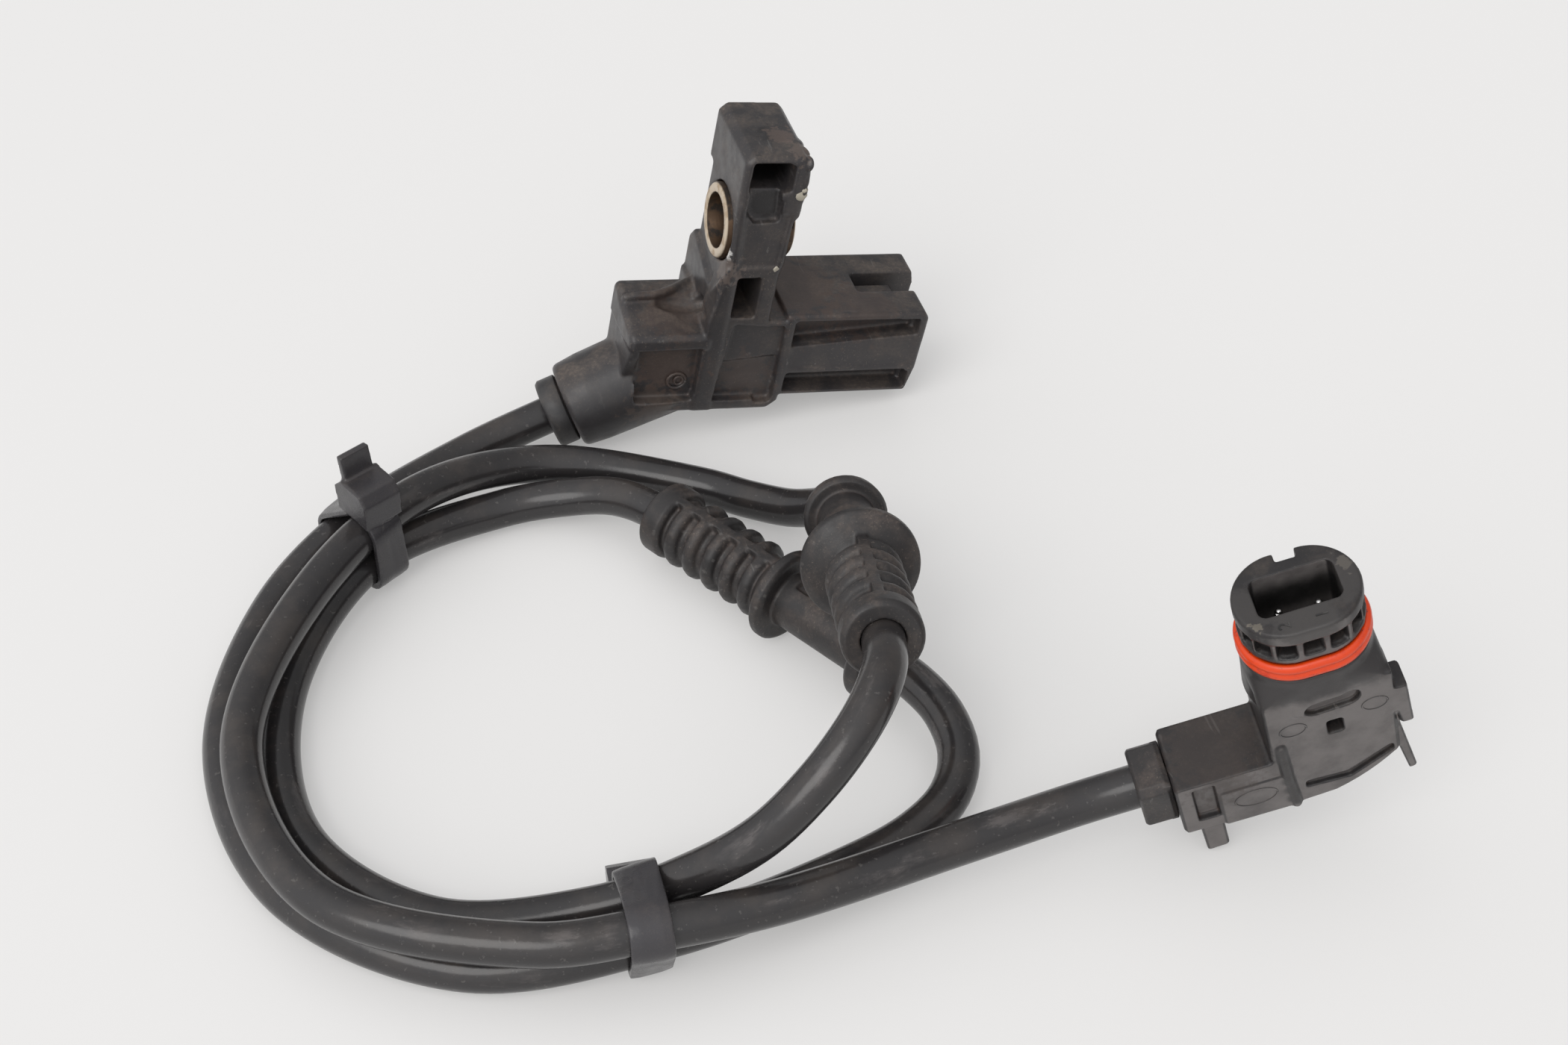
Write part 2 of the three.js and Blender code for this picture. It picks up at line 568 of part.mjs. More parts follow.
// Tie: a strap round the three strands that cross its plane, a head block and the cut tail
function hull(points) {
  const sorted = [...points].sort((p, q) => p[0] - q[0] || p[1] - q[1]);
  const turn = (o, p, q) => (p[0] - o[0]) * (q[1] - o[1]) - (p[1] - o[1]) * (q[0] - o[0]);
  const chain = (list) => {
    const kept = [];
    for (const p of list) {
      while (kept.length > 1 && turn(kept.at(-2), kept.at(-1), p) <= 1e-9) kept.pop();
      kept.push(p);
    }
    return kept.slice(0, -1);
  };
  return [...chain(sorted), ...chain(sorted.reverse())];
}

function roundHull(centres, radius) {
  return hull(centres.flatMap(([a, b]) => circle(radius, 20).map(([x, y]) => [a + x, b + y])));
}

// Where the cable crosses the tie's plane, in the plane's own two axes
function crossings(at, along, across) {
  const found = [];
  const points = route.getPoints(ROUTE_STEPS);
  for (let i = 1; i < points.length; i++) {
    const a = points[i - 1].clone().sub(at);
    const b = points[i].clone().sub(at);
    const [da, db] = [a.dot(along), b.dot(along)];
    if (da * db > 0 || da === db) continue;
    const hit = a.lerp(b, da / (da - db));
    if (hit.length() < 14) found.push([hit.dot(across), hit.z]);
  }
  return found;
}

function tie(name, { at, heading, seat, turn, head, tail }) {
  const angle = THREE.MathUtils.degToRad(heading);
  const along = new THREE.Vector3(Math.cos(angle), Math.sin(angle), 0);
  const across = new THREE.Vector3(-Math.sin(angle), Math.cos(angle), 0);
  const origin = new THREE.Vector3(...at);
  const strands = [-1, 0, 1].flatMap((k) =>
    crossings(origin.clone().addScaledVector(along, (k * STRAP_WIDTH) / 2), along, across));
  const inner = roundHull(strands, CABLE_RADIUS + GAP);
  const shape = outline(roundHull(strands, CABLE_RADIUS + GAP + STRAP_THICKNESS));
  shape.holes.push(outline(inner));
  const strap = solid(extrude(shape, STRAP_WIDTH).translate(0, 0, -STRAP_WIDTH / 2));
  const [wide, deep, tall] = head;
  const block = solid(extrude(roundedRect(0, tall / 2, wide, tall, 0.9), deep, 0.3)
    .translate(0, 0, -deep / 2));
  const stub = solid(extrude(roundedRect(-wide / 2 + 1.4, tall + tail / 2 - 1, STRAP_THICKNESS,
    tail, 0.2), STRAP_WIDTH - 0.6).translate(0, 0, -STRAP_WIDTH / 2 + 0.3));
  const lock = union(block, stub).rotate([0, 0, turn]).translate([...seat, 0]);
  const core = solid(extrude(outline(inner), STRAP_WIDTH + 4).translate(0, 0, -STRAP_WIDTH / 2 - 2));
  const body = strap.add(lock.subtract(core));
  const matrix = new THREE.Matrix4().makeBasis(across, new THREE.Vector3(0, 0, 1),
    new THREE.Vector3().crossVectors(across, new THREE.Vector3(0, 0, 1))).setPosition(origin);
  add(cord, name, geometryOf(body).applyMatrix4(matrix),
    new THREE.MeshStandardMaterial({ color: BLACK_RUBBER, roughness: 0.5, metalness: 0 }));
}

tie('cable_tie_1', TIE_1);
tie('cable_tie_2', TIE_2);

// Connector: an arm that holds the cable, a face plate with latch fingers, and an oval plug
// with a seal under its windowed rim. Its frame stands on three directions.
function connectorFrame() {
  const x = new THREE.Vector3(...PLUG_X).normalize();
  const y = new THREE.Vector3().crossVectors(new THREE.Vector3(...PLUG_Z), x).normalize();
  const z = new THREE.Vector3().crossVectors(x, y);
  return new THREE.Matrix4().makeBasis(x, y, z).setPosition(...PLUG_AT);
}
plug.applyMatrix4(connectorFrame());

const front = -ARM_HALF;

function arm() {
  const tube = slabYZ(
    [[front, ARM_BOTTOM], [ARM_HALF, ARM_BOTTOM], [ARM_HALF, ARM_TOP], [front, ARM_TOP]],
    ARM_START, PLATE_LEFT + 2, 0.35);
  const pad = box(8.6, PLATE_LEFT + 1.4, front - 0.3, 0, ARM_BOTTOM - 0.1, 0.7, 0.2);
  const bay = box(5.8, 8.3, front - THROUGH, front + 0.9, -3.9, ARM_TOP - 0.8);
  const tab = slabXZ([[5.7, -4.6], [8.5, -4.6], [8.5, -11.3], [5.9, -11.5]], front + 0.4, front + 3.4, 0.3);
  return cut(union(tube, pad, tab), bay);
}

// Face plate with its curved lower corner, a bare oval recess, a keyhole and ejector rings
function plate() {
  const shape = new THREE.Shape();
  shape.moveTo(PLATE_LEFT, PLATE_TOP).lineTo(PLATE_LEFT, ARM_TOP).lineTo(PLATE_LEFT + 1.2, ARM_BOTTOM - 0.4);
  shape.lineTo(21.5, ARM_BOTTOM).quadraticCurveTo(25.6, -4.4, PLATE_RIGHT, -0.9);
  shape.lineTo(PLATE_RIGHT + 0.2, PLATE_TOP + 0.6);
  const slab = solid(extrude(shape, PLATE_BACK - front, 0.35).applyMatrix4(XZ).translate(0, PLATE_BACK, 0));
  const seam = slabXZ([[15.9, 6.1], [16.5, 6.1], [17.2, ARM_BOTTOM - 0.2], [16.4, ARM_BOTTOM - 0.2]],
    front - 0.35, 0, 0.1);
  const bar = slabXZ([[18.3, -2.8], [18.5, -1.8], [28.2, 0.7], [28.2, -0.2]], front - THROUGH, front + 0.4);
  const badge = solid(extrude(roundedRect(22.3, 11.9, 6, 2.5, 1.24), THROUGH + 0.4).applyMatrix4(XZ)
    .translate(0, front + 0.4, 0));
  const hole = box(21.6, 23.3, front - THROUGH, front + 2, 6.1, 8.5);
  return { body: union(slab, seam), tools: [bar, badge, hole] };
}

// Latch fingers on the plate's right side
function fingers() {
  const upper = slabXZ([[PLATE_RIGHT - 0.4, 14.4], [30.6, 14.2], [31, 3.9], [29.6, 3.9], [29.2, 6.6],
    [PLATE_RIGHT - 0.4, 6.6]], front, front + 3.6, 0.3);
  const lower = slabXZ([[PLATE_RIGHT - 0.5, 6.3], [29.3, 5.2], [30.8, -6.2], [29.9, -6.5],
    [PLATE_RIGHT - 0.5, 2]], front + 0.5, front + 3.2, 0.2);
  return union(upper, lower);
}

function oval(length, width, z0, z1, soft) {
  return slabXY(roundedRect(BARREL_X, BARREL_Y, length, width, width / 2), z0, z1, soft);
}

// Oval plug: tapered base, seal groove, windowed neck and rim with the keyway and socket
function barrel() {
  const base = taper(BASE_LENGTH, BASE_WIDTH, SEAL_LENGTH - 0.5, SEAL_WIDTH - 0.5, BARREL_BASE, SEAL_LOW - GAP);
  const neck = oval(NECK_LENGTH, NECK_WIDTH, SEAL_LOW - THROUGH, RIM_LOW + THROUGH);
  const shoulder = oval(RIM_LENGTH - 0.2, RIM_WIDTH - 0.2, SEAL_HIGH + GAP, SEAL_HIGH + GAP + 0.8);
  const rim = oval(RIM_LENGTH, RIM_WIDTH, RIM_LOW, RIM_HIGH, 0.3);
  const posts = [];
  const count = 16;
  for (let i = 0; i < count; i++) {
    const angle = (2 * Math.PI * i) / count + Math.PI / count;
    const straightHalf = (RIM_LENGTH - RIM_WIDTH) / 2;
    const c = Math.cos(angle);
    const reach = RIM_WIDTH / 2 - 0.45;
    const x = BARREL_X + reach * c + Math.sign(c) * straightHalf * Math.min(1, Math.abs(c) * 1.6);
    const y = BARREL_Y + reach * Math.sin(angle);
    posts.push(slabXY(roundedRect(0, 0, 0.8, 0.8, 0.1), SEAL_HIGH + GAP, RIM_LOW + 0.5)
      .rotate([0, 0, THREE.MathUtils.radToDeg(angle)]).translate([x, y, 0]));
  }
  const socket = slabXY(roundedRect(BARREL_X, BARREL_Y + 0.2, SOCKET_LENGTH, SOCKET_WIDTH, 0.9),
    RIM_HIGH - SOCKET_DEPTH, RIM_HIGH + THROUGH);
  const backEdge = BARREL_Y + RIM_WIDTH / 2;
  const key = box(BARREL_X - 1, BARREL_X - 1 + KEY_WIDTH, backEdge - KEY_DEPTH, backEdge + THROUGH,
    RIM_LOW - THROUGH, RIM_HIGH + THROUGH);
  return { body: union(base, neck, shoulder, rim, ...posts), tools: [socket, key] };
}

// A slab whose oval outline shrinks from the bottom to the top
function taper(length0, width0, length1, width1, z0, z1) {
  const geometry = extrude(roundedRect(0, 0, length0, width0, width0 / 2), z1 - z0);
  const position = geometry.attributes.position;
  for (let i = 0; i < position.count; i++) {
    const t = position.getZ(i) / (z1 - z0);
    position.setX(i, position.getX(i) * (1 + t * (length1 / length0 - 1)));
    position.setY(i, position.getY(i) * (1 + t * (width1 / width0 - 1)));
  }
  return solid(geometry.translate(BARREL_X, BARREL_Y, z0));
}

// Bent terminals: up into the socket, and back along the arm to the cable's end
function terminalOutline(side, grow) {
  const x = BARREL_X + (side * PIN_PITCH) / 2;
  const h = PIN_WIDTH / 2 + grow;
  const z = side * 0.9;
  return [[PIN_TAIL - grow, z - h], [x + h, z - h], [x + h, PIN_TIP - 1 + grow], [x + h * 0.5, PIN_TIP + grow],
    [x - h * 0.5, PIN_TIP + grow], [x - h, PIN_TIP - 1 + grow], [x - h, z + h], [PIN_TAIL - grow, z + h]];
}

function terminal(side, grow = 0) {
  const y = side * -0.8 + 0.9;
  const thick = 0.32 + grow;
  return slabXZ(terminalOutline(side, grow), y - thick, y + thick);
}

function connectorHousing() {
  const face = plate();
  const oval = barrel();
  const whole = union(arm(), face.body, fingers(), oval.body);
  const bore = rod(BORE_RADIUS, ARM_START - THROUGH, PIN_TAIL + 0.6);
  return cut(whole, ...face.tools, ...oval.tools, bore, terminal(-1, GAP), terminal(1, GAP));
}

add(plug, 'connector_housing', connectorHousing(), moulding());
add(plug, 'terminal_1', terminal(1), metal(TIN));
add(plug, 'terminal_2', terminal(-1), metal(TIN));

const boot = cut(
  slabYZ([[-BOOT_HALF + 0.8, -4.2], [BOOT_HALF - 0.8, -4.2], [BOOT_HALF, -3.2], [BOOT_HALF, 2.4],
    [BOOT_HALF - 0.8, 3.3], [-BOOT_HALF + 0.8, 3.3], [-BOOT_HALF, 2.4], [-BOOT_HALF, -3.2]],
  0, BOOT_LENGTH, 0.3),
  rod(BORE_RADIUS, -THROUGH, BOOT_LENGTH + THROUGH));
add(plug, 'cable_boot', boot, rubber());

const seal = cut(
  slabXY(roundedRect(BARREL_X, BARREL_Y, SEAL_LENGTH, SEAL_WIDTH, SEAL_WIDTH / 2), SEAL_LOW, SEAL_HIGH, 0.5),
  slabXY(roundedRect(BARREL_X, BARREL_Y, NECK_LENGTH + 2 * SLIP, NECK_WIDTH + 2 * SLIP,
    NECK_WIDTH / 2 + SLIP), SEAL_LOW - THROUGH, SEAL_HIGH + THROUGH));
add(plug, 'plug_seal', seal,
  new THREE.MeshStandardMaterial({ color: ORANGE, roughness: 0.45, metalness: 0 }));

export default part;
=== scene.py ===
import math
import random

import bmesh
import bpy
from mathutils import Matrix, Vector


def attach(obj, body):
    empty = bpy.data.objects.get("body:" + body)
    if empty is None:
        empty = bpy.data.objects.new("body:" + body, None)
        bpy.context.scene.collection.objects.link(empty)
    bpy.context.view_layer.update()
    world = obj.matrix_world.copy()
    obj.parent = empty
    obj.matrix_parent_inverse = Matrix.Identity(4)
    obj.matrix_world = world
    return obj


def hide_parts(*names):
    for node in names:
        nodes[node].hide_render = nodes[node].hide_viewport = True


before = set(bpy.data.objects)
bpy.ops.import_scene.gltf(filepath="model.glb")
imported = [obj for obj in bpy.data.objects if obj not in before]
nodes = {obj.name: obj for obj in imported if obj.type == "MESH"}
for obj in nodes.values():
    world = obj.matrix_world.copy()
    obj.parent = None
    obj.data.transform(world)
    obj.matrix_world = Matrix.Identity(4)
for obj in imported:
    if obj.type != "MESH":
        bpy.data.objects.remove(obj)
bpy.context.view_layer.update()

MM = 0.001
CABLE_RADIUS = 0.0025     # metres
CABLE_BORE = 2.56         # millimetres, round the cable in the rubber pieces
BARREL_AT = (21.75, 1)    # the plug's middle in the connector's own frame, millimetres
MOST_TRIANGLES = 170000   # a finer form is thinned to this

# The objects that Blender starts with
for name in ("Cube", "Light", "Camera"):
    if name in bpy.data.objects:
        bpy.data.objects.remove(bpy.data.objects[name])

# Camera
CAMERA_AT = Vector((-65.77, -246.57, 214.68)) * MM
CAMERA_FORWARD = Vector((0.2089, 0.7009, -0.6820))
camera_data = bpy.data.cameras.new("camera")
camera_data.sensor_width = 36
camera_data.lens = 54.857
camera_data.clip_start = 0.01
camera = bpy.data.objects.new("camera", camera_data)
camera.location = CAMERA_AT
camera.rotation_mode = "QUATERNION"
camera.rotation_quaternion = CAMERA_FORWARD.to_track_quat("-Z", "Y")
bpy.context.scene.collection.objects.link(camera)
bpy.context.scene.camera = camera

# Frames of the head and of the connector: metres, axes as in the part's source
HEAD_AT = Vector((4.45, -7.05, 3.26)) * MM
HEAD_FRAME = Matrix.Translation(HEAD_AT) @ Matrix.Rotation(math.radians(10.7), 4, "Y")
PLUG_AT = Vector((22.2, -89.2, 10.1)) * MM
PLUG_X = Vector((0.9458, -0.1515, 0.2873)).normalized()
PLUG_Y = Vector((-0.3001, -0.0693, 0.9514)).cross(PLUG_X).normalized()
PLUG_Z = PLUG_X.cross(PLUG_Y)
PLUG_FRAME = Matrix((
    (PLUG_X.x, PLUG_Y.x, PLUG_Z.x, PLUG_AT.x),
    (PLUG_X.y, PLUG_Y.y, PLUG_Z.y, PLUG_AT.y),
    (PLUG_X.z, PLUG_Y.z, PLUG_Z.z, PLUG_AT.z),
    (0, 0, 0, 1),
))


# Node trees
class Tree:
    def __init__(self, name):
        self.material = bpy.data.materials.new(name)
        self.material.use_nodes = True
        self.nodes = self.material.node_tree.nodes
        self.links = self.material.node_tree.links
        self.shader = self.nodes["Principled BSDF"]
        self.place = self.nodes.new("ShaderNodeTexCoord").outputs["Object"]
        self.uv = self.place.node.outputs["UV"]
        geometry = self.nodes.new("ShaderNodeNewGeometry")
        self.normal = geometry.outputs["Normal"]
        self.edge = geometry.outputs["Pointiness"]

    def put(self, socket, value):
        if isinstance(value, bpy.types.NodeSocket):
            self.links.new(value, socket)
        else:
            socket.default_value = value

    def math(self, kind, a, b=0.0, clamp=False):
        node = self.nodes.new("ShaderNodeMath")
        node.operation = kind
        node.use_clamp = clamp
        self.put(node.inputs[0], a)
        self.put(node.inputs[1], b)
        return node.outputs[0]

    def noise(self, scale, detail=4.0, rough=0.55, place=None, warp=0.0):
        node = self.nodes.new("ShaderNodeTexNoise")
        node.inputs["Scale"].default_value = scale
        node.inputs["Detail"].default_value = detail
        node.inputs["Roughness"].default_value = rough
        node.inputs["Distortion"].default_value = warp
        self.links.new(place or self.place, node.inputs["Vector"])
        return node.outputs[0]

    def stretched(self, scale, place=None):
        node = self.nodes.new("ShaderNodeMapping")
        node.inputs["Scale"].default_value = scale
        self.links.new(place or self.place, node.inputs["Vector"])
        return node.outputs[0]

    def step(self, value, low, high, to_low=0.0, to_high=1.0):
        node = self.nodes.new("ShaderNodeMapRange")
        node.interpolation_type = "SMOOTHSTEP"
        self.put(node.inputs["Value"], value)
        node.inputs["From Min"].default_value = low
        node.inputs["From Max"].default_value = high
        node.inputs["To Min"].default_value = to_low
        node.inputs["To Max"].default_value = to_high
        return node.outputs["Result"]

    def upward(self, low, high):
        node = self.nodes.new("ShaderNodeSeparateXYZ")
        self.links.new(self.normal, node.inputs[0])
        return self.step(node.outputs["Z"], low, high)

    # How squarely the surface faces along a direction of the row frame, from -1 to 1
    def facing(self, direction):
        node = self.nodes.new("ShaderNodeVectorMath")
        node.operation = "DOT_PRODUCT"
        self.links.new(self.normal, node.inputs[0])
        node.inputs[1].default_value = direction
        return node.outputs["Value"]

    # A ragged patch round a point in the row frame, in metres
    def patch(self, at, radius, ragged=0.5, scale=900.0):
        node = self.nodes.new("ShaderNodeVectorMath")
        node.operation = "DISTANCE"
        self.links.new(self.place, node.inputs[0])
        node.inputs[1].default_value = at
        uneven = self.math("SUBTRACT", self.noise(scale, 5.0, 0.6), 0.5)
        shift = self.math("MULTIPLY", uneven, 4 * ragged * radius)
        return self.step(self.math("ADD", node.outputs["Value"], shift), radius, 0.6 * radius)

    def mix(self, amount, a, b):
        node = self.nodes.new("ShaderNodeMix")
        node.data_type = "RGBA"
        self.put(node.inputs[0], amount)
        self.put(node.inputs[6], a)
        self.put(node.inputs[7], b)
        return node.outputs[2]

    def bump(self, height, strength, distance):
        node = self.nodes.new("ShaderNodeBump")
        node.inputs["Strength"].default_value = strength
        node.inputs["Distance"].default_value = distance
        self.put(node.inputs["Height"], height)
        old = self.shader.inputs["Normal"]
        if old.is_linked:
            self.links.new(old.links[0].from_socket, node.inputs["Normal"])
        self.links.new(node.outputs[0], old)

    def finish(self, colour, rough, metallic=0.0, specular=0.5):
        self.put(self.shader.inputs["Base Color"], colour)
        self.put(self.shader.inputs["Roughness"], rough)
        self.put(self.shader.inputs["Metallic"], metallic)
        self.shader.inputs["Specular IOR Level"].default_value = specular
        return self.material


def rgb(r, g, b):
    return (r, g, b, 1.0)


DUST = rgb(0.2, 0.156, 0.123)
CHALK = rgb(0.75, 0.73, 0.7)
GREASE = rgb(0.42, 0.38, 0.3)
SOIL = rgb(0.075, 0.05, 0.04)
SAND = rgb(0.23, 0.185, 0.15)
WEAR_AND_EDGE_HIGHLIGHT = rgb(0.2, 0.19, 0.18)
SCRATCHED = rgb(0.16, 0.15, 0.14)
DRY_MUD = rgb(0.13, 0.1, 0.085)


# A used black surface: mottled dust that gathers on upward faces, fine grain and scratches
def dusty(name, base, dust, amount, rough, grain=0.00003, patches=(), scale=170.0, painted_lit_side=None):
    t = Tree(name)
    cloud = t.step(t.noise(scale, 6.0, 0.62, warp=0.4), 0.4, 0.66)
    fine = t.step(t.noise(2100.0, 4.0, 0.6), 0.35, 0.7)
    lie = t.math("ADD", t.math("MULTIPLY", t.upward(-0.1, 0.95), 0.65), 0.35)
    thin = t.math("ADD", t.math("MULTIPLY", fine, 0.6), 0.4)
    mask = t.math("MULTIPLY", t.math("MULTIPLY", t.math("MULTIPLY", cloud, lie), thin), amount)
    film = t.step(t.noise(60.0, 3.0, 0.5), 0.3, 0.75)
    tint = t.mix(film, base, tuple(c * 1.35 for c in base[:3]) + (1.0,))
    colour = t.mix(mask, tint, dust)
    # Painted light: faces turned towards the given direction are painted paler in a mottled way, standing in
    # for light falling on that side.
    if painted_lit_side:
        direction, shade = painted_lit_side
        spread = t.step(t.noise(240.0, 5.0, 0.6), 0.3, 0.62, 0.55, 0.95)
        painted_lit_faces = t.step(t.facing(direction), 0.8, 0.97)
        colour = t.mix(t.math("MULTIPLY", painted_lit_faces, spread), colour, shade)
    # Convex edges painted lighter: partly edge wear, partly a painted edge highlight.
    worn_and_highlit_edges = t.step(t.edge, 0.53, 0.6, 0.0, 0.22)
    broken = t.step(t.noise(350.0, 4.0, 0.6), 0.35, 0.65)
    colour = t.mix(t.math("MULTIPLY", worn_and_highlit_edges, broken), colour, WEAR_AND_EDGE_HIGHLIGHT)
    colour = t.mix(t.step(t.edge, 0.485, 0.43, 0.0, 0.6), colour, SOIL)
    grit = t.step(t.noise(3300.0, 3.0, 0.7), 0.6, 0.68)
    drift = t.step(t.noise(130.0, 4.0, 0.6), 0.35, 0.65, 0.1, 0.75)
    sand = t.math("MULTIPLY", t.math("MULTIPLY", grit, drift), min(1.0, 1.3 * amount))
    colour = t.mix(sand, colour, SAND)
    rubbed = t.noise(900.0, 3.0, 0.7, t.stretched((1.0, 0.12, 0.5)))
    scratch = t.math("MULTIPLY", t.step(rubbed, 0.66, 0.72), 0.35)
    colour = t.mix(scratch, colour, SCRATCHED)
    for at, radius, shade, strength, ragged in patches:
        spot = t.math("MULTIPLY", t.patch(at, radius, ragged), strength)
        colour = t.mix(spot, colour, shade)
    uneven = t.step(t.noise(420.0, 4.0, 0.6), 0.3, 0.75, rough - 0.05, rough + 0.1)
    gloss = t.math("ADD", t.math("MULTIPLY", mask, 0.3), uneven)
    t.bump(t.noise(5200.0, 3.0, 0.6), 0.35, grain)
    t.bump(t.noise(700.0, 4.0, 0.6), 0.3, 0.00008)
    return t.finish(colour, gloss, specular=0.42)


def head_point(x, y, z):
    return tuple(HEAD_FRAME @ (Vector((x, y, z)) * MM))


def plug_point(x, y, z):
    return tuple(PLUG_FRAME @ (Vector((x, y, z)) * MM))


# Patches are a centre, a radius in metres, a colour, a strength and how ragged the edge is
head_plastic = dusty("head_plastic", rgb(0.03, 0.0275, 0.0285), DUST, 0.45, 0.36, patches=(
    (head_point(-22.5, 1.0, 0.5), 0.0065, rgb(0.036, 0.034, 0.035), 0.7, 0.4),
    (head_point(-11.1, 0.9, 25.4), 0.001, CHALK, 0.7, 0.9),
    (head_point(-11.1, 1.2, 22.6), 0.0026, DRY_MUD, 0.6, 0.9),
    # Painted shade: a dark patch inside the pocket.
    (head_point(-7.2, 0.8, 32.6), 0.0026, rgb(0.014, 0.013, 0.013), 0.7, 0.4),
    # Painted shade: a near-black patch deep inside the slot.
    (head_point(-6.6, 6.0, 37.0), 0.0045, rgb(0.012, 0.011, 0.011), 0.85, 0.2),
    (head_point(-5.2, 5.5, 40.2), 0.0022, rgb(0.12, 0.088, 0.075), 0.6, 0.7),
    (head_point(-3.4, 2.0, 40.0), 0.0022, DRY_MUD, 0.6, 0.8),
    (head_point(-2.6, 1.2, 35.6), 0.0012, GREASE, 0.5, 0.8),
    (head_point(2.0, 7.0, 15.4), 0.008, SOIL, 0.5, 0.5),
    (head_point(10.0, 2.0, 15.4), 0.006, SOIL, 0.4, 0.6),
    (head_point(-18.0, 1.0, 1.0), 0.004, rgb(0.1, 0.075, 0.062), 0.45, 0.7),
    (head_point(-16.0, 1.4, 7.0), 0.005, SOIL, 0.55, 0.6),
    (head_point(-5.0, 1.4, 5.0), 0.0045, SOIL, 0.4, 0.7),
    (head_point(-16.0, 4.0, 13.5), 0.005, SOIL, 0.4, 0.6),
))
plug_plastic = dusty("plug_plastic", rgb(0.016, 0.0145, 0.015), DUST, 0.16, 0.4, patches=(
    (plug_point(9.5, 0.0, 3.3), 0.007, rgb(0.045, 0.033, 0.028), 0.45, 0.5),
    *((plug_point(16.25 + 0.09 * k, -5.6, 5.4 - 1.9 * k), 0.0016, rgb(0.022, 0.02, 0.02), 0.9, 0.04)
      for k in range(6)),
    # Painted shade: three near-black patches inside the socket.
    *((plug_point(x, 1.2, 21.9), 0.0042, rgb(0.006, 0.006, 0.006), 0.9, 0.04)
      for x in (18.7, 21.75, 24.8)),
    (plug_point(21.75, -3.4, 26.3), 0.0042, rgb(0.052, 0.048, 0.046), 0.8, 0.2),
    (plug_point(17.2, 0.4, 26.3), 0.0036, rgb(0.048, 0.044, 0.042), 0.75, 0.3),
    (plug_point(26.6, 0.6, 26.3), 0.0036, rgb(0.048, 0.044, 0.042), 0.75, 0.3),
    (plug_point(15.5, -4.0, 23.9), 0.0018, rgb(0.2, 0.16, 0.12), 0.18, 1.1),
    (plug_point(27.2, 2.6, 26.2), 0.0009, rgb(0.26, 0.23, 0.19), 0.2, 1.4),
    (plug_point(16.6, -2.0, 26.2), 0.0007, rgb(0.3, 0.26, 0.2), 0.3, 1.5),
    *((plug_point(x, -4.6, 17.3), 0.0042, rgb(0.034, 0.031, 0.031), 0.9, 0.08)
      for x in (16.5, 20, 23.5, 27)),
# The plug's front faces are painted paler: painted light from the front.
), painted_lit_side=(PLUG_FRAME.to_3x3() @ Vector((0, -1, 0)), rgb(0.15, 0.137, 0.132)))
rubber = dusty(
    "black_rubber", rgb(0.022, 0.02, 0.02), rgb(0.17, 0.13, 0.108), 0.4, 0.42, 0.00005, scale=260.0)
nylon = dusty("tie_nylon", rgb(0.036, 0.034, 0.037), DUST, 0.12, 0.25)
seal_rubber = dusty("seal_rubber", rgb(0.025, 0.024, 0.025), DUST, 0.25, 0.42, 0.00004)


# Jacket of the cable: smooth and slightly glossy, with dull scuffs along its length
def jacket():
    t = Tree("cable_jacket")
    long = t.stretched((90.0, 4.0, 1.0), t.uv)
    scuff = t.step(t.noise(1.0, 5.0, 0.65, long), 0.56, 0.72)
    cloud = t.step(t.noise(45.0, 4.0, 0.6), 0.4, 0.7)
    mask = t.math("MULTIPLY", scuff, t.math("ADD", t.math("MULTIPLY", cloud, 0.75), 0.12))
    speck = t.math("MULTIPLY", t.step(t.noise(1500.0, 3.0, 0.6), 0.63, 0.7), 0.3)
    colour = t.mix(mask, rgb(0.026, 0.024, 0.0245), rgb(0.14, 0.125, 0.12))
    film = t.step(t.noise(160.0, 5.0, 0.6), 0.4, 0.7, 0.0, 0.12)
    colour = t.mix(t.math("MULTIPLY", t.upward(0.0, 1.0), film), colour, DUST)
    colour = t.mix(speck, colour, SCRATCHED)
    t.bump(t.noise(3000.0, 3.0, 0.6), 0.2, 0.00003)
    t.bump(t.noise(380.0, 5.0, 0.65), 0.3, 0.0001)
    return t.finish(colour, t.math("ADD", t.math("MULTIPLY", mask, 0.25), 0.2))


# Bushing: yellowed zinc, rubbed pale on its ends, and brown with oxide in the bore, which is also painted
# dark as shade
def zinc():
    t = Tree("zinc_bushing")
    axis = HEAD_FRAME.to_3x3() @ Vector((1, 0, 0))
    end = t.step(t.math("ABSOLUTE", t.facing(axis)), 0.5, 0.9)
    stain = t.step(t.noise(500.0, 5.0, 0.65), 0.45, 0.65)
    pale = t.mix(t.math("MULTIPLY", stain, 0.55), rgb(0.56, 0.47, 0.36), rgb(0.3, 0.19, 0.095))
    # Faces other than the ends: brown oxide mixed with near black, painted dark as shade in the bore.
    bore_oxide_and_shade = t.mix(stain, rgb(0.075, 0.045, 0.026), rgb(0.03, 0.024, 0.02))
    t.bump(t.noise(2600.0, 3.0, 0.6), 0.4, 0.00004)
    rough = t.step(stain, 0.0, 1.0, 0.38, 0.6)
    return t.finish(t.mix(end, bore_oxide_and_shade, pale), rough, t.step(end, 0.0, 1.0, 0.75, 0.35))


def tinned():
    t = Tree("tinned_metal")
    tone = t.mix(t.step(t.noise(800.0, 4.0, 0.6), 0.35, 0.7), rgb(0.62, 0.61, 0.6), rgb(0.42, 0.41, 0.4))
    t.bump(t.noise(4000.0, 2.0, 0.5, t.stretched((1.0, 1.0, 0.1))), 0.2, 0.00002)
    return t.finish(tone, t.step(t.noise(300.0, 3.0), 0.3, 0.7, 0.2, 0.35), 1.0)


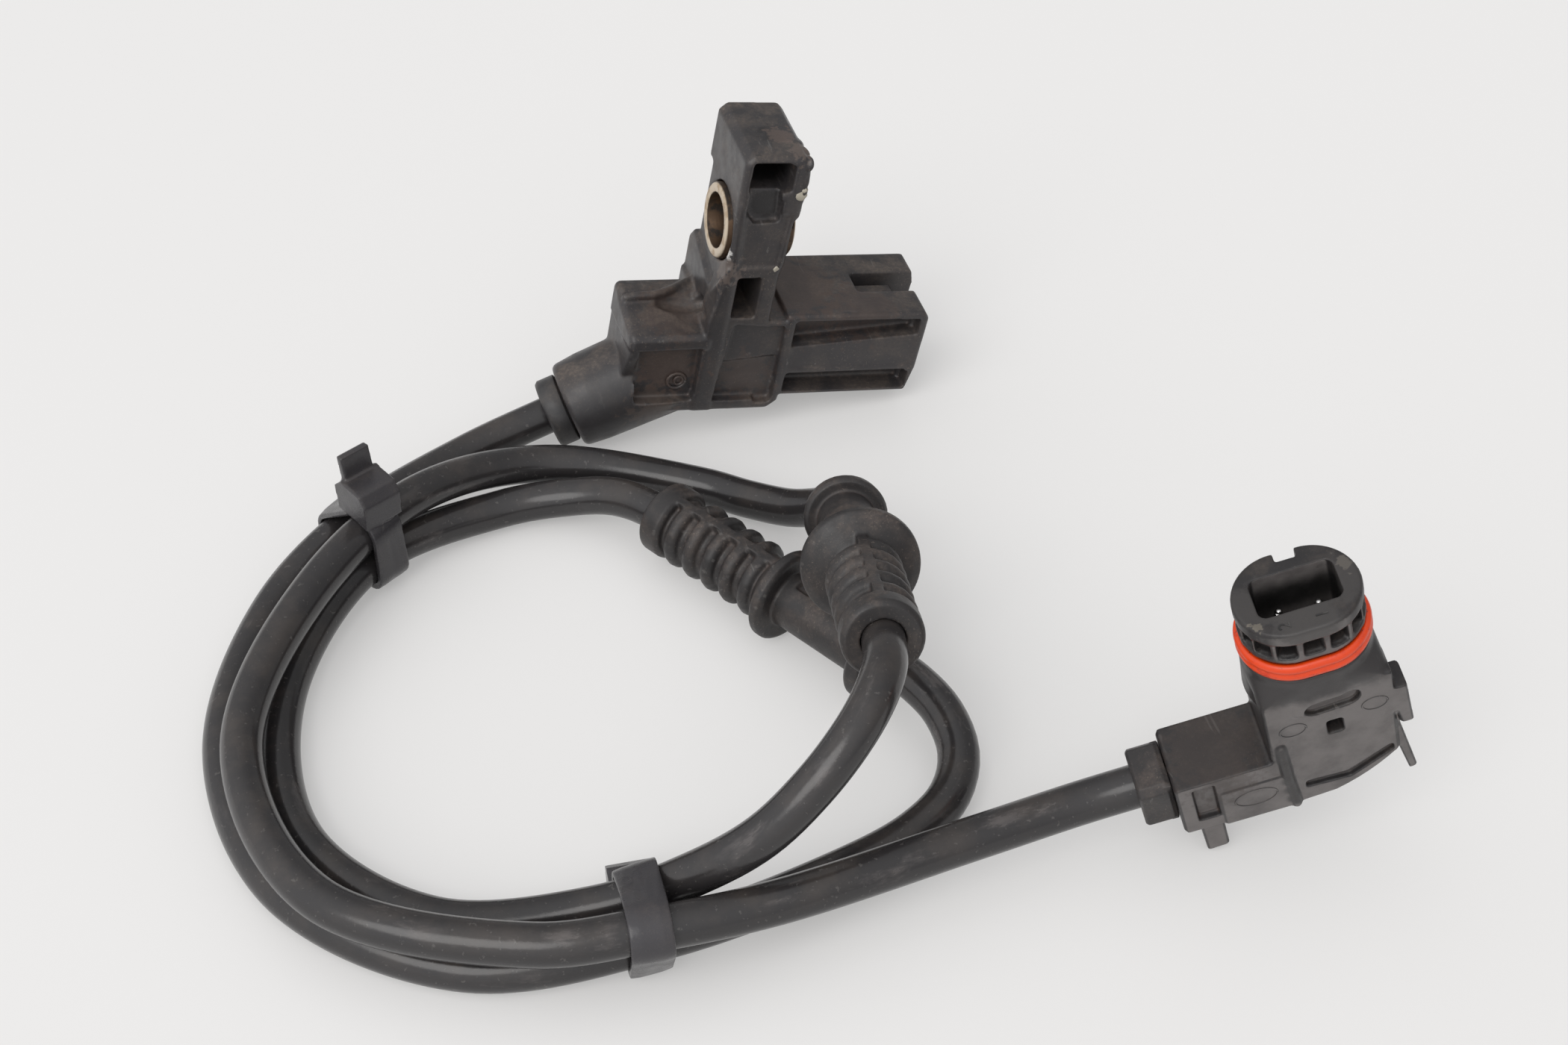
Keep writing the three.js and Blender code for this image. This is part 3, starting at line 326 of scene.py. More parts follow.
def silicone():
    t = Tree("orange_silicone")
    cloud = t.step(t.noise(650.0, 5.0, 0.65), 0.5, 0.78)
    grime = t.math("MULTIPLY", t.step(t.noise(1300.0, 4.0, 0.7), 0.62, 0.7), 0.7)
    colour = t.mix(cloud, rgb(0.75, 0.055, 0.004), rgb(0.5, 0.026, 0.005))
    colour = t.mix(grime, colour, rgb(0.12, 0.03, 0.02))
    t.bump(t.noise(1800.0, 3.0, 0.6), 0.25, 0.00005)
    return t.finish(colour, t.step(cloud, 0.0, 1.0, 0.32, 0.5))


cable_jacket = jacket()
zinc_bushing = zinc()
tin = tinned()
orange = silicone()


# Meshes in millimetres, in the head's, the connector's or a grommet's own frame
def link(name, mesh, material):
    piece = bpy.data.objects.new(name, mesh)
    bpy.context.scene.collection.objects.link(piece)
    mesh.materials.clear()
    mesh.materials.append(material)
    for polygon in mesh.polygons:
        polygon.use_smooth = True
    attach(piece, "root")
    return piece


def mesh_of(bm):
    bmesh.ops.recalc_face_normals(bm, faces=bm.faces)
    mesh = bpy.data.meshes.new("form")
    bm.to_mesh(mesh)
    bm.free()
    return mesh


def shell(rings, closed=False):
    bm = bmesh.new()
    rows = [[bm.verts.new(p) for p in ring] for ring in rings]
    pairs = list(zip(rows, rows[1:]))
    if closed:
        pairs.append((rows[-1], rows[0]))
    for low, high in pairs:
        for k in range(len(low)):
            n = (k + 1) % len(low)
            bm.faces.new((low[k], low[n], high[n], high[k]))
    if not closed:
        bm.faces.new(reversed(rows[0]))
        bm.faces.new(rows[-1])
    return mesh_of(bm)


# An outline in the x-z plane, given a thickness from y0 to y1
def prism(points, y0, y1):
    return shell([[(x, y, z) for x, z in points] for y in (y0, y1)])


def block(x0, x1, y0, y1, z0, z1):
    return prism([(x0, z0), (x1, z0), (x1, z1), (x0, z1)], y0, y1)


# A solid turned about the x axis from (radius, station) pairs
def turned(profile, sides=96, closed=False):
    turns = [2 * math.pi * k / sides for k in range(sides)]
    return shell([[(s, r * math.cos(a), r * math.sin(a)) for a in turns] for r, s in profile], closed)


# Long ovals stacked along z, as (length, width, z); with closed=True the first joins the last
def ovals(rows, centre=BARREL_AT, closed=False, sides=96):
    rings = []
    for length, width, z in rows:
        ring = []
        for k in range(sides):
            a = 2 * math.pi * (k + 0.5) / sides
            shift = math.copysign((length - width) / 2, math.cos(a))
            x = centre[0] + shift + width / 2 * math.cos(a)
            ring.append((x, centre[1] + width / 2 * math.sin(a), z))
        rings.append(ring)
    return shell(rings, closed)


# An upright block with rounded corners
def rounded(x, y, length, width, radius, z0, z1):
    ring = []
    for i, (sx, sy) in enumerate(((1, 1), (-1, 1), (-1, -1), (1, -1))):
        for k in range(7):
            a = math.pi / 2 * (i + k / 6)
            ring.append((x + sx * (length / 2 - radius) + radius * math.cos(a),
                         y + sy * (width / 2 - radius) + radius * math.sin(a)))
    return shell([[(a, b, z) for a, b in ring] for z in (z0, z1)])


# A bent rod with round ends
def bent_rod(points, radius, sides=20):
    points = [Vector(p) for p in points]
    side = Vector((0.1, 0.3, 1))
    rings = []
    for i, point in enumerate(points):
        ahead = (points[min(i + 1, len(points) - 1)] - points[max(i - 1, 0)]).normalized()
        side = (side - ahead * side.dot(ahead)).normalized()
        other = ahead.cross(side)
        ends = [(-0.86, 0.5), (-0.5, 0.86), (0, 1)] if i == 0 else [(0, 1)]
        ends = [(0, 1), (0.5, 0.86), (0.86, 0.5)] if i == len(points) - 1 else ends
        for out, size in ends:
            rings.append([
                point + radius * (out * ahead + size * (math.cos(a) * side + math.sin(a) * other))
                for a in (2 * math.pi * k / sides for k in range(sides))])
    return shell(rings)


def hull(points):
    bm = bmesh.new()
    for point in points:
        bm.verts.new(point)
    bmesh.ops.convex_hull(bm, input=bm.verts)
    return mesh_of(bm)


# An object that only carries a mesh and its modifiers, and is deleted afterwards
def carrier(mesh):
    piece = bpy.data.objects.new("carrier", mesh)
    bpy.context.scene.collection.objects.link(piece)
    return piece


# The mesh that an object has after its modifiers
def settled(piece):
    bpy.context.view_layer.update()
    graph = bpy.context.evaluated_depsgraph_get()
    return bpy.data.meshes.new_from_object(piece.evaluated_get(graph))


# A moulded form in place of a node: the node's own solid, or a (name, mesh) pair, with finer cuts
# and additions, its edges rounded
def moulded(node, frame_of, material, steps, voxel=0.2, rounds=6):
    to_local = Matrix.Scale(1000, 4) @ frame_of.inverted()
    if isinstance(node, str):
        source = nodes[node].data.copy()
        source.transform(to_local @ nodes[node].matrix_world)
        bm = bmesh.new()
        bm.from_mesh(source)
        bmesh.ops.remove_doubles(bm, verts=bm.verts, dist=0.002)
        bm.to_mesh(source)
        bm.free()
    else:
        node, source = node
    first = carrier(source)
    carriers = [first]
    for kind, form in steps:
        tool = carrier(form)
        carriers.append(tool)
        cut = first.modifiers.new("shape", "BOOLEAN")
        cut.operation = kind
        cut.solver = "MANIFOLD"
        cut.object = tool
    remesh = first.modifiers.new("remesh", "REMESH")
    remesh.mode = "VOXEL"
    remesh.voxel_size = voxel
    smooth = first.modifiers.new("smooth", "SMOOTH")
    smooth.factor = 0.5
    smooth.iterations = rounds
    mesh = settled(first)
    triangles = 2 * len(mesh.polygons)
    if triangles > MOST_TRIANGLES:
        full = carrier(mesh)
        carriers.append(full)
        fewer = full.modifiers.new("fewer", "DECIMATE")
        fewer.ratio = MOST_TRIANGLES / triangles
        mesh = settled(full)
    for piece in carriers:
        bpy.data.objects.remove(piece)
    mesh.transform(to_local.inverted())
    piece = link(node + "_form", mesh, material)
    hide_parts(node)
    return piece


# A form in place of a node, with the mesh as it is
def plain(node, frame_of, material, mesh):
    mesh.transform(frame_of @ Matrix.Scale(MM, 4))
    piece = link(node + "_form", mesh, material)
    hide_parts(node)
    return piece


# CAD nodes that keep their own mesh, with softened edges
def dress(node, material, width=0.1, angle=35):
    piece = nodes[node]
    piece.data.materials.clear()
    piece.data.materials.append(material)
    for polygon in piece.data.polygons:
        polygon.use_smooth = True
    weld = piece.modifiers.new("weld", "WELD")
    weld.merge_threshold = 0.000002
    bevel = piece.modifiers.new("bevel", "BEVEL")
    bevel.width = width * MM
    bevel.segments = 2
    bevel.limit_method = "ANGLE"
    bevel.angle_limit = math.radians(angle)
    smooth = piece.modifiers.new("even_shading", "WEIGHTED_NORMAL")
    smooth.weight = 80


for node in ("chip_carrier", "sensing_chip"):
    dress(node, head_plastic)
for node in ("terminal_1", "terminal_2", "chip_lead_1", "chip_lead_2"):
    dress(node, tin, 0.06)


# A small uneven lump, for dirt and for the torn edge of the lug
def clod(centre, size, seed):
    draw = random.Random(seed)
    bm = bmesh.new()
    bmesh.ops.create_icosphere(bm, subdivisions=3, radius=1.0)
    waves = [
        (Vector([draw.gauss(0, 1) for _ in range(3)]) * 2.2, draw.random() * 6)
        for _ in range(7)]
    for v in bm.verts:
        v.co *= 1 + 0.08 * sum(math.sin(v.co.dot(w) + phase) for w, phase in waves)
        v.co = Vector([c * s + m for c, s, m in zip(v.co, size, centre)])
    return mesh_of(bm)


SLEEVE = Matrix.Translation((-27.45, 6, -2.9)) @ Matrix.Rotation(math.radians(180 - 27.3), 4, "Y")


def along_sleeve(mesh):
    mesh.transform(SLEEVE)
    return mesh


# Head housing
torn = [clod((-2.72, y, z), size, seed) for y, z, size, seed in (
    (1.1, 38.7, (0.6, 1.3, 1.2), 2), (2.7, 39.2, (0.62, 1.6, 0.8), 3), (4.3, 39.4, (0.5, 1.5, 0.7), 5),
    (0.7, 37.0, (0.5, 0.9, 1.5), 7), (0.6, 35.2, (0.6, 0.8, 1.2), 11), (0.8, 33.8, (0.5, 0.9, 1.2), 13))]
moulded("sensor_housing", HEAD_FRAME, head_plastic, [
    ("UNION", along_sleeve(turned([
        (0.5, -16), (6.5, -16), (6.2, -3.5), (5.9, -0.5), (5.5, 0), (4.6, 0), (4.6, -8.3), (0.5, -8.3)]))),
    ("UNION", bent_rod([(-21.6, 6.9, 14.3), (-20.4, 6.9, 14.5), (-18.1, 6.9, 14.6), (-16.4, 7.3, 14.7),
                        (-14.9, 8, 14.7), (-13.2, 9.1, 14.7), (-11.5, 10.1, 14.8)], 0.6)),
    ("UNION", prism([(0.2, 5.7), (18.6, 5.7), (18.6, 11.7), (0.2, 10.1)], 0.3, 2.2)),
    *(("UNION", form) for form in torn),
    ("DIFFERENCE", prism([(-9.5, 1.6), (-0.9, 1.6), (-1.1, 13.5), (-8.3, 14.3)], -2, 1)),
    ("DIFFERENCE", prism([(-9.5, 1.6), (-0.9, 1.6), (-1, 8.4), (-9, 7.6)], -2, 1.5)),
    ("DIFFERENCE", prism([(-20.5, 1.9), (-12.4, 1.9), (-12.2, 10.8), (-20.8, 10.5)], -2, 1.4)),
    ("DIFFERENCE", prism([(0.6, 10.3), (17.8, 11.8), (17.8, 14.3), (0.6, 14)], -2, 2.8)),
    ("DIFFERENCE", prism([(0.4, 2.8), (17.8, 2.8), (17.8, 5.9), (0.4, 5.8)], -2, 3.2)),
    ("DIFFERENCE", block(-10, -4.3, -2, 8.6, 35, 39)),
    ("DIFFERENCE", prism([(-9.8, 35.4), (-9.6, 31.5), (-8.5, 30.1), (-5.2, 30.3), (-5.6, 35.4)], -2, 1.3)),
    ("DIFFERENCE", prism([(-12, 32.1), (-10.8, 32), (-10.5, 23.5), (-12, 23)], -2, 0.35)),
    ("DIFFERENCE", clod((-14.2, 4.8, 14.6), (3.6, 3.4, 1.7), 1)),
    ("DIFFERENCE", block(-5.5, -5.1, -2, 0.9, 30.4, 33.8)),
], rounds=9)

# Turned steel and rubber of the head
bushing = turned([
    (4.7, -11.7), (5, -11.4), (5, -2.6), (4.7, -2.3), (3.75, -2.3), (3.6, -2.45), (3.6, -11.55),
    (3.75, -11.7)], closed=True)
bushing.transform(Matrix.Translation((0, 5.75, 27.2)))
plain("mounting_bushing", HEAD_FRAME, zinc_bushing, bushing)
plain("cable_seal", HEAD_FRAME, seal_rubber, along_sleeve(turned([
    (2.6, -8), (4, -8), (4.4, -7.4), (4.4, 0.2), (4.65, 0.25), (4.75, 0.4), (4.75, 2.6), (4.4, 3),
    (2.9, 3), (2.6, 2.8)], closed=True)))

LOWER_TAIL = (-16.34, -26.57, 6.3)
LOWER_WAY = (0.504, -0.864, 0)
UPPER_TAIL = (-2.83, -73.79, 25.72)
UPPER_WAY = (0.176, 0.903, -0.347)
GROMMET_LENGTH = 38


# Grommets: rounded half ribs that alternate from side to side along a web
def grommet(node, tail, way, flange, end_flange):
    x = Vector(way).normalized()
    z = (Vector((0, 0, 1)) - x * x.z).normalized()
    y = z.cross(x)
    frame_of = Matrix.Translation(Vector(tail) * MM) @ Matrix((x, y, z)).transposed().to_4x4()
    body = turned([
        (CABLE_BORE, 0), (4.3, 0), (4.8, 0.5), (4.8, 2.9), (4.3, 3.4), (3.6, 3.4), (3.6, 19),
        (flange - 1, 20.1), (flange, 20.8), (flange, 21.8), (flange - 0.5, 22.3), (3.6, 22.3),
        (3.6, 35.8), (end_flange - 0.4, 35.8), (end_flange, 36.3),
        (end_flange - 0.3, GROMMET_LENGTH), (CABLE_BORE, GROMMET_LENGTH)], closed=True)
    ribs = []
    for k in range(9):
        side = 1 if k % 2 else -1
        arc = [math.pi / 2 * side + a * 1.42 for a in (-1, -0.8, -0.6, -0.4, -0.2, 0, 0.2, 0.4, 0.6, 0.8, 1)]
        ribs.append(bent_rod([
            (5.2 + 1.6 * k, 3.75 * math.cos(a), 3.75 * math.sin(a))
            for a in (v - math.pi / 2 for v in arc)], 1.05))
    webs = [block(3, 20, -0.6, 0.6, low, low + 1.4) for low in (3.3, -4.7)]
    dimple = block(23.9, 26.3, -0.8, 0.8, 3.15, 4.6)
    return moulded((node, body), frame_of, rubber, [
        *(("UNION", form) for form in ribs + webs), ("DIFFERENCE", dimple)], 0.18, 5)


lower_form = grommet("lower_grommet", LOWER_TAIL, LOWER_WAY, 6, 5.7)
upper_form = grommet("upper_grommet", UPPER_TAIL, UPPER_WAY, 7.2, 5.3)

# Connector housing: smooth ovals, a flared foot, windows under the rim and the bent groove
WINDOWS = 16
WINDOW_TURN = 4.6       # radius of the windows' path round each end of the oval
WINDOW_SHIFT = 1.4      # half the straight run between the two ends
windows = []
for k in range(WINDOWS):
    a = 2 * math.pi * (k + 1) / WINDOWS
    c = math.cos(a)
    depth = 1.2 if math.sin(a) < -0.9 else 0.7
    form = block(-depth, 1.6, -0.92, 0.92, 21.95, 24.15)
    x = BARREL_AT[0] + WINDOW_TURN * c + math.copysign(WINDOW_SHIFT, c) * min(1, abs(c) * 1.6)
    y = BARREL_AT[1] + WINDOW_TURN * math.sin(a)
    form.transform(Matrix.Translation((x, y, 0)) @ Matrix.Rotation(a, 4, "Z"))
    windows.append(form)
flare = hull([
    *((x, y, z) for x in (15.2, 29.2) for y in (-4.2, 5.2) for z in (12.5, 13.7)),
    *(v.co for v in ovals([(14.3, 11.4, 16), (14.2, 11.3, 16.6)]).vertices)])
oval_recess = ovals([(6.2, 2.7, -0.8), (6.2, 2.7, 2)], (0, 0))
oval_tilt = Matrix.Rotation(math.radians(-4), 4, "Y")
oval_recess.transform(
    Matrix.Translation((22.5, -4.4, 12)) @ oval_tilt @ Matrix.Rotation(math.pi / 2, 4, "X"))
plug_form = moulded("connector_housing", PLUG_FRAME, plug_plastic, [
    ("UNION", ovals([(14.8, 11.8, 11.5), (14, 11.2, 18)])),
    ("UNION", flare),
    ("UNION", ovals([(13.5, 10.7, 21), (13.5, 10.7, 21.8)])),
    ("UNION", ovals([(13.3, 10.5, 24.2), (13.7, 10.9, 24.5), (13.7, 10.9, 25.9), (13.2, 10.4, 26.2)])),
    *(("DIFFERENCE", form) for form in windows),
    ("UNION", prism([(17.6, -3.4), (18, -1.2), (28.7, 1.6), (28.7, -0.9), (24, -3.8)], -4.38, -3)),
    ("UNION", bent_rod([(16.2, -4.2, 6.3), (16.3, -4.35, 3), (16.4, -4.4, 0), (16.8, -4.4, -5.6)], 0.62)),
    ("DIFFERENCE", rounded(21.75, 1.2, 9, 5, 0.9, 17.2, 28)),
    ("DIFFERENCE", oval_recess),
    ("DIFFERENCE", block(20.75, 23.05, 5.15, 8, 23, 28)),
    ("DIFFERENCE", block(29.25, 33, -8, 4, 11.1, 18)),
    ("DIFFERENCE", prism([
        (18.2, -3.3), (18.3, -2.1), (23, -2.3), (28.3, 0.7), (28.4, -0.5), (23.3, -3.6)], -6, -3.6)),
    ("DIFFERENCE", block(5.8, 8.3, -6, -3.4, -3.9, 2.5)),
], 0.17, 5)
boot_form = moulded("cable_boot", PLUG_FRAME, rubber, [
    ("UNION", block(3, 3.88, -3.2, 3.2, -3.9, 3)),
    ("DIFFERENCE", turned([(CABLE_BORE, -2), (CABLE_BORE, 6)])),
], 0.15, 5)

# Seal in the plug's groove, with two rounded lips
seal_profile = [
    (5.0, 18.35), (5.45, 18.3), (5.75, 18.5), (5.88, 18.9), (5.8, 19.25), (5.62, 19.5), (5.8, 19.75),
    (5.88, 20.1), (5.75, 20.5), (5.45, 20.7), (5.0, 20.65)]
seal_form = plain("plug_seal", PLUG_FRAME, orange, ovals(
    [(2 * r + 2.8, 2 * r, z) for r, z in seal_profile], closed=True))


# Cable: the route's points as in the part's source, in millimetres. It runs straight in a grommet.
def inside(tail, way):
    step = Vector(way).normalized() * GROMMET_LENGTH / 3
    return [tuple(Vector(tail) + step * k) for k in range(4)]


LOWER = inside(LOWER_TAIL, LOWER_WAY)
UPPER = inside(UPPER_TAIL, UPPER_WAY)
ROUTE = [
    (-17.46, -1.05, 7.15), (-26.06, -1.05, 4.6), (-38.3, -4.4, 3.4), (-54.5, -14.2, 4.3),
    (-66.8, -25.8, 2.9), (-75.5, -47.8, 2.6), (-71.5, -71.1, 2.6), (-54.0, -87.0, 2.7),
    (-32.5, -90.0, 4.3), (-13.0, -86.3, 3.0), (-1.4, -82.6, 2.7), (4.3, -78.8, 3.2),
    (7.0, -74.0, 4.2), (7.0, -68.5, 5.4), (5.3, -63.8, 6.1),
    *reversed(LOWER),
    (-21.3, -20.6, 5.5), (-27.3, -17.3, 4.0), (-36.0, -16.0, 3.0), (-53.6, -22.2, 4.3),
    (-67.1, -40.4, 2.6), (-68.4, -63.9, 2.6), (-56.2, -79.2, 2.7), (-39.2, -84.2, 4.5),
    (-28.7, -86.7, 9.5), (-21.1, -88.6, 15.7), (-15.2, -87.9, 21.0), (-10.7, -85.9, 24.6),
    (-7.3, -83.1, 26.6), (-4.6, -79.2, 27.1),
    *UPPER,
    (3.9, -34.9, 10.0), (2.5, -32.3, 7.7), (-0.1, -28.9, 5.3), (-4.4, -23.8, 3.5),
    (-9.5, -19.0, 3.0), (-28.5, -11.1, 5.0), (-45.8, -16.7, 9.2), (-62.2, -31.2, 9.2),
    (-73.2, -52.2, 7.6), (-68.0, -77.1, 8.0), (-47.3, -90.3, 8.7), (-34.6, -92.4, 9.3),
    (-20.6, -92.4, 8.8), (3.3, -89.4, 7.9), (16.1, -88.4, 8.4), (24.6, -89.6, 10.9),
]


# A smooth curve through the points, with about one point for each pitch of its length
def spline(points, pitch):
    p = [Vector(q) for q in points]
    p = [2 * p[0] - p[1], *p, 2 * p[-1] - p[-2]]
    line = []
    for a, b, c, d in zip(p, p[1:], p[2:], p[3:]):
        ab, bc, cd = ((v - u).length ** 0.5 for u, v in ((a, b), (b, c), (c, d)))
        start = ((b - a) / ab - (c - a) / (ab + bc) + (c - b) / bc) * bc
        end = ((c - b) / bc - (d - b) / (bc + cd) + (d - c) / cd) * bc
        count = max(2, round((c - b).length / pitch))
        for k in range(count):
            t = k / count
            line.append(
                b * (2 * t**3 - 3 * t**2 + 1) + start * (t**3 - 2 * t**2 + t)
                + c * (3 * t**2 - 2 * t**3) + end * (t**3 - t**2))
    line.append(p[-2])
    return line


# A tube along a line in metres, with its length and its turn as UV
def tube(name, line, radius, sides, material):
    bm = bmesh.new()
    uv = bm.loops.layers.uv.new("length_and_turn")
    side = Vector((0, 0, 1))
    rings = []
    lengths = []
    run = 0.0
    for i, point in enumerate(line):
        ahead = (line[min(i + 1, len(line) - 1)] - line[max(i - 1, 0)]).normalized()
        side = (side - ahead * side.dot(ahead)).normalized()
        other = ahead.cross(side)
        run += (point - line[i - 1]).length if i else 0.0
        lengths.append(run)
        rings.append([
            bm.verts.new(point + radius * (math.cos(a) * side + math.sin(a) * other))
            for a in (2 * math.pi * k / sides for k in range(sides))])
    for i in range(len(rings) - 1):
        for k in range(sides):
            n = (k + 1) % sides
            face = bm.faces.new((rings[i][k], rings[i][n], rings[i + 1][n], rings[i + 1][k]))
            face.smooth = True
            turns = (k / sides, (k + 1) / sides, (k + 1) / sides, k / sides)
            runs = (lengths[i], lengths[i], lengths[i + 1], lengths[i + 1])
            for loop, u, v in zip(face.loops, runs, turns):
                loop[uv].uv = (u, v)
    bm.faces.new(reversed(rings[0]))
    bm.faces.new(rings[-1])
    bm.normal_update()
    mesh = bpy.data.meshes.new(name)
    bm.to_mesh(mesh)
    bm.free()
    return link(name, mesh, material)


cable_line = [p * MM for p in spline(ROUTE, 1.3)]
cable = tube("jacket", cable_line, CABLE_RADIUS, 28, cable_jacket)
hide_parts("cable")


STRAP_INSIDE = 2.58     # from a strand's middle, millimetres
STRAP_OUTSIDE = 3.6
STRAP_RIM = 3.45        # the strap's two edges are a little thinner
STRAP_SIDES = 120
HELD_WITHIN = 22        # strands further off than this aren't held


# Ties: each strap lies on the strands that cross it, with a locking head and the cut tail
def tie(node, at, heading, head, tail):
    turn = math.radians(heading)
    along = Vector((math.cos(turn), math.sin(turn), 0))
    across = Vector((-math.sin(turn), math.cos(turn), 0))
    up = Vector((0, 0, 1))
    turned_to = Matrix((across, up, across.cross(up))).transposed().to_4x4()
    frame_of = Matrix.Translation(Vector(at) * MM) @ turned_to
    local = [frame_of.inverted() @ p * 1000 for p in cable_line]
    inner, outer = [], []
    for z in (-2.4, -1.2, 0, 1.2, 2.4):
        strands = []
        for a, b in zip(local, local[1:]):
            if (a.z - z) * (b.z - z) <= 0 and a.z != b.z and a.xy.length < HELD_WITHIN:
                hit = a.lerp(b, (z - a.z) / (b.z - a.z))
                strands.append(hit.xy)
        outside = STRAP_OUTSIDE if abs(z) < 2.3 else STRAP_RIM
        for rings, reach in ((inner, STRAP_INSIDE), (outer, outside)):
            ring = []
            for k in range(STRAP_SIDES):
                a = 2 * math.pi * k / STRAP_SIDES
                way = Vector((math.cos(a), math.sin(a)))
                best = max(strands, key=lambda c: c.dot(way)) + way * reach
                ring.append((best.x, best.y, z))
            rings.append(ring)
    strap = shell(outer + inner[::-1], closed=True)
    core = shell([[(x, y, 2 * z) for x, y, z in inner[k]] for k in (0, 4)])
    lock = shell([[(x, y, z) for x, y in head] for z in (-2.7, 2.7)])
    stub = shell([[(x, y, z) for x, y in tail] for z in (-2.1, 2.1)])
    return moulded((node, strap), frame_of, nylon, [
        ("UNION", lock), ("UNION", stub), ("DIFFERENCE", core)], 0.18, 4)


tie_forms = [
    tie("cable_tie_1", (-53.4, -19.6, 0), 206, [
        (-1.2, 12.2), (4.9, 12), (5.2, 15.6), (4.2, 17.2), (0.2, 17.3), (-1.3, 15.8)],
        [(-0.2, 15), (1, 15), (0.2, 20.6), (-0.9, 20.4)]),
    tie("cable_tie_2", (-34.6, -88.6, 0), -4, [
        (5.2, 2.5), (5.5, 0.3), (9.9, 0.25), (10.2, 3.9), (8.9, 4.9), (5.6, 4.4)],
        [(8, 1), (10.6, 1.1), (10.6, 2), (8, 2)]),
]


# Raised rings of the mouldings
def hoop(name, frame_of, centre, across, up, thickness, material):
    turns = [2 * math.pi * k / 48 for k in range(49)]
    line = [
        frame_of @ ((Vector(centre) + Vector((across * math.cos(a), 0, up * math.sin(a)))) * MM)
        for a in turns]
    return tube(name, line, thickness * MM, 8, material)


on_plug = [
    hoop("ejector_mark_1", PLUG_FRAME, (17.9, -4.36, 8.9), 1.45, 1.1, 0.13, plug_plastic),
    hoop("ejector_mark_2", PLUG_FRAME, (27.0, -4.36, 9.6), 1.4, 1.1, 0.13, plug_plastic),
    hoop("ejector_mark_3", PLUG_FRAME, (12.5, -4.66, -1.7), 2.4, 1.5, 0.13, plug_plastic),
]


RIM_TOP = 26.22


# Contact numbers on the rim
def numeral(name, text, x, y):
    curve = bpy.data.curves.new(name, "FONT")
    curve.body = text
    curve.size = 1.9 * MM
    curve.extrude = 0.05 * MM
    curve.align_x = "CENTER"
    curve.align_y = "CENTER"
    piece = bpy.data.objects.new(name, curve)
    bpy.context.scene.collection.objects.link(piece)
    place = Matrix.Translation(Vector((x, y, RIM_TOP)) * MM) @ Matrix.Rotation(math.pi / 2, 4, "Z")
    piece.matrix_world = PLUG_FRAME @ place
    curve.materials.append(number_dark)
    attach(piece, "root")
    return piece


number_dark = dusty("number_dark", rgb(0.012, 0.012, 0.012), DUST, 0.1, 0.5)
tip_line = [Vector((0, 0, 20.6)), Vector((0, 0, 21.6)), Vector((0, 0, 22.1))]
for name, x, y in (("contact_tip_1", 23.95, 1.5), ("contact_tip_2", 19.7, 1.8)):
    form = bent_rod([p + Vector((x, y, 0)) for p in tip_line], 0.42)
    form.transform(PLUG_FRAME @ Matrix.Scale(MM, 4))
    on_plug.append(link(name, form, tin))
on_plug.append(numeral("contact_number_1", "1", 23.4, -2.8))
on_plug.append(numeral("contact_number_2", "2", 19.4, -2.9))

hoop("mould_ring_outer", HEAD_FRAME, (-14.6, 1.26, 4.5), 1.25, 1.2, 0.24, head_plastic)
hoop("mould_ring_inner", HEAD_FRAME, (-14.3, 1.28, 4.5), 0.6, 0.65, 0.2, head_plastic)

# Dried grease on the lug's edge and a pale speck under it
grease = dusty("dried_grease", rgb(0.33, 0.3, 0.24), rgb(0.6, 0.56, 0.48), 0.9, 0.4)
for name, centre, size, seed in (
        ("dried_grease_1", (-3.0, 0.15, 34.6), (0.75, 0.35, 0.75), 3),
        ("dried_grease_2", (-2.6, 0.1, 35.4), (0.4, 0.3, 0.5), 5),
        ("pale_speck", (-4.3, 0.02, 23.3), (0.36, 0.1, 0.36), 13)):
    form = clod(centre, size, seed)
    form.transform(HEAD_FRAME @ Matrix.Scale(MM, 4))
    link(name, form, grease)


FLOOR_GLOW = 0.31       # seen by the camera and in reflections, and not lighting the object


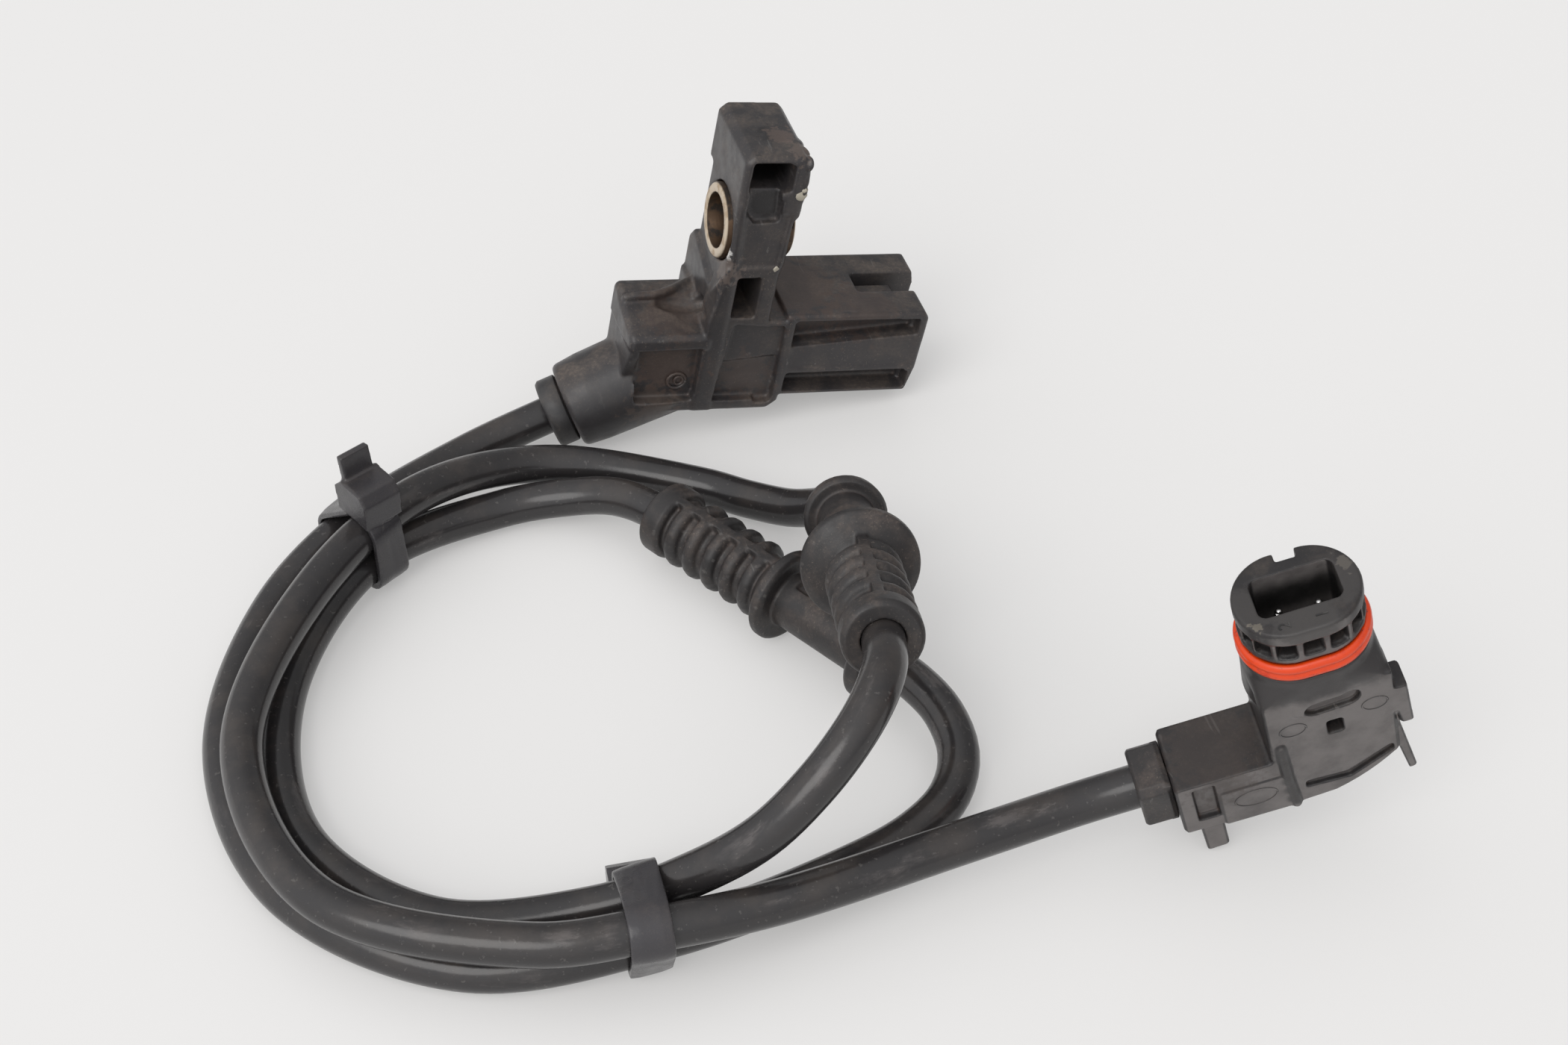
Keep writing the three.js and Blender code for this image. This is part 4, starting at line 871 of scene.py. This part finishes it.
# Table and light
def table():
    bm = bmesh.new()
    bmesh.ops.create_grid(bm, x_segments=1, y_segments=1, size=3.0)
    mesh = bpy.data.meshes.new("table")
    bm.to_mesh(mesh)
    bm.free()
    floor = bpy.data.objects.new("table", mesh)
    bpy.context.scene.collection.objects.link(floor)
    t = Tree("table_white")
    mesh.materials.append(t.finish(rgb(0.52, 0.513, 0.505), 0.35, specular=0.3))
    t.shader.inputs["Emission Color"].default_value = (1.0, 0.992, 0.98, 1.0)
    ray = t.nodes.new("ShaderNodeLightPath").outputs
    seen = t.math("MAXIMUM", ray["Is Camera Ray"], ray["Is Glossy Ray"])
    seen = t.math("MAXIMUM", seen, ray["Is Transmission Ray"])
    t.put(t.shader.inputs["Emission Strength"], t.math("MULTIPLY", seen, FLOOR_GLOW))


table()
sun_data = bpy.data.lights.new("key", "SUN")
sun_data.energy = 0.9
sun_data.angle = math.radians(38)
sun_data.color = (1.0, 0.985, 0.965)
sun = bpy.data.objects.new("key", sun_data)
sun.rotation_mode = "QUATERNION"
sun.rotation_quaternion = Vector((0.6, 0.5, -0.75)).to_track_quat("-Z", "Y")
bpy.context.scene.collection.objects.link(sun)

world = bpy.data.worlds.new("studio")
bpy.context.scene.world = world
world.use_nodes = True
sky = world.node_tree
light = sky.nodes["Background"]
light.inputs["Color"].default_value = (0.98, 0.985, 1.0, 1.0)
way = sky.nodes.new("ShaderNodeTexCoord")
toward = sky.nodes.new("ShaderNodeVectorMath")
toward.operation = "DOT_PRODUCT"
toward.inputs[1].default_value = Vector((-0.65, -0.45, 0.6)).normalized()
ramp = sky.nodes.new("ShaderNodeMapRange")
ramp.interpolation_type = "SMOOTHSTEP"
ramp.inputs["From Min"].default_value = -0.3
ramp.inputs["From Max"].default_value = 1.0
ramp.inputs["To Min"].default_value = 0.38
ramp.inputs["To Max"].default_value = 1.2
sky.links.new(way.outputs["Generated"], toward.inputs[0])
sky.links.new(toward.outputs["Value"], ramp.inputs["Value"])
sky.links.new(ramp.outputs["Result"], light.inputs["Strength"])
bpy.context.scene.view_settings.view_transform = "Standard"

bpy.context.view_layer.update()
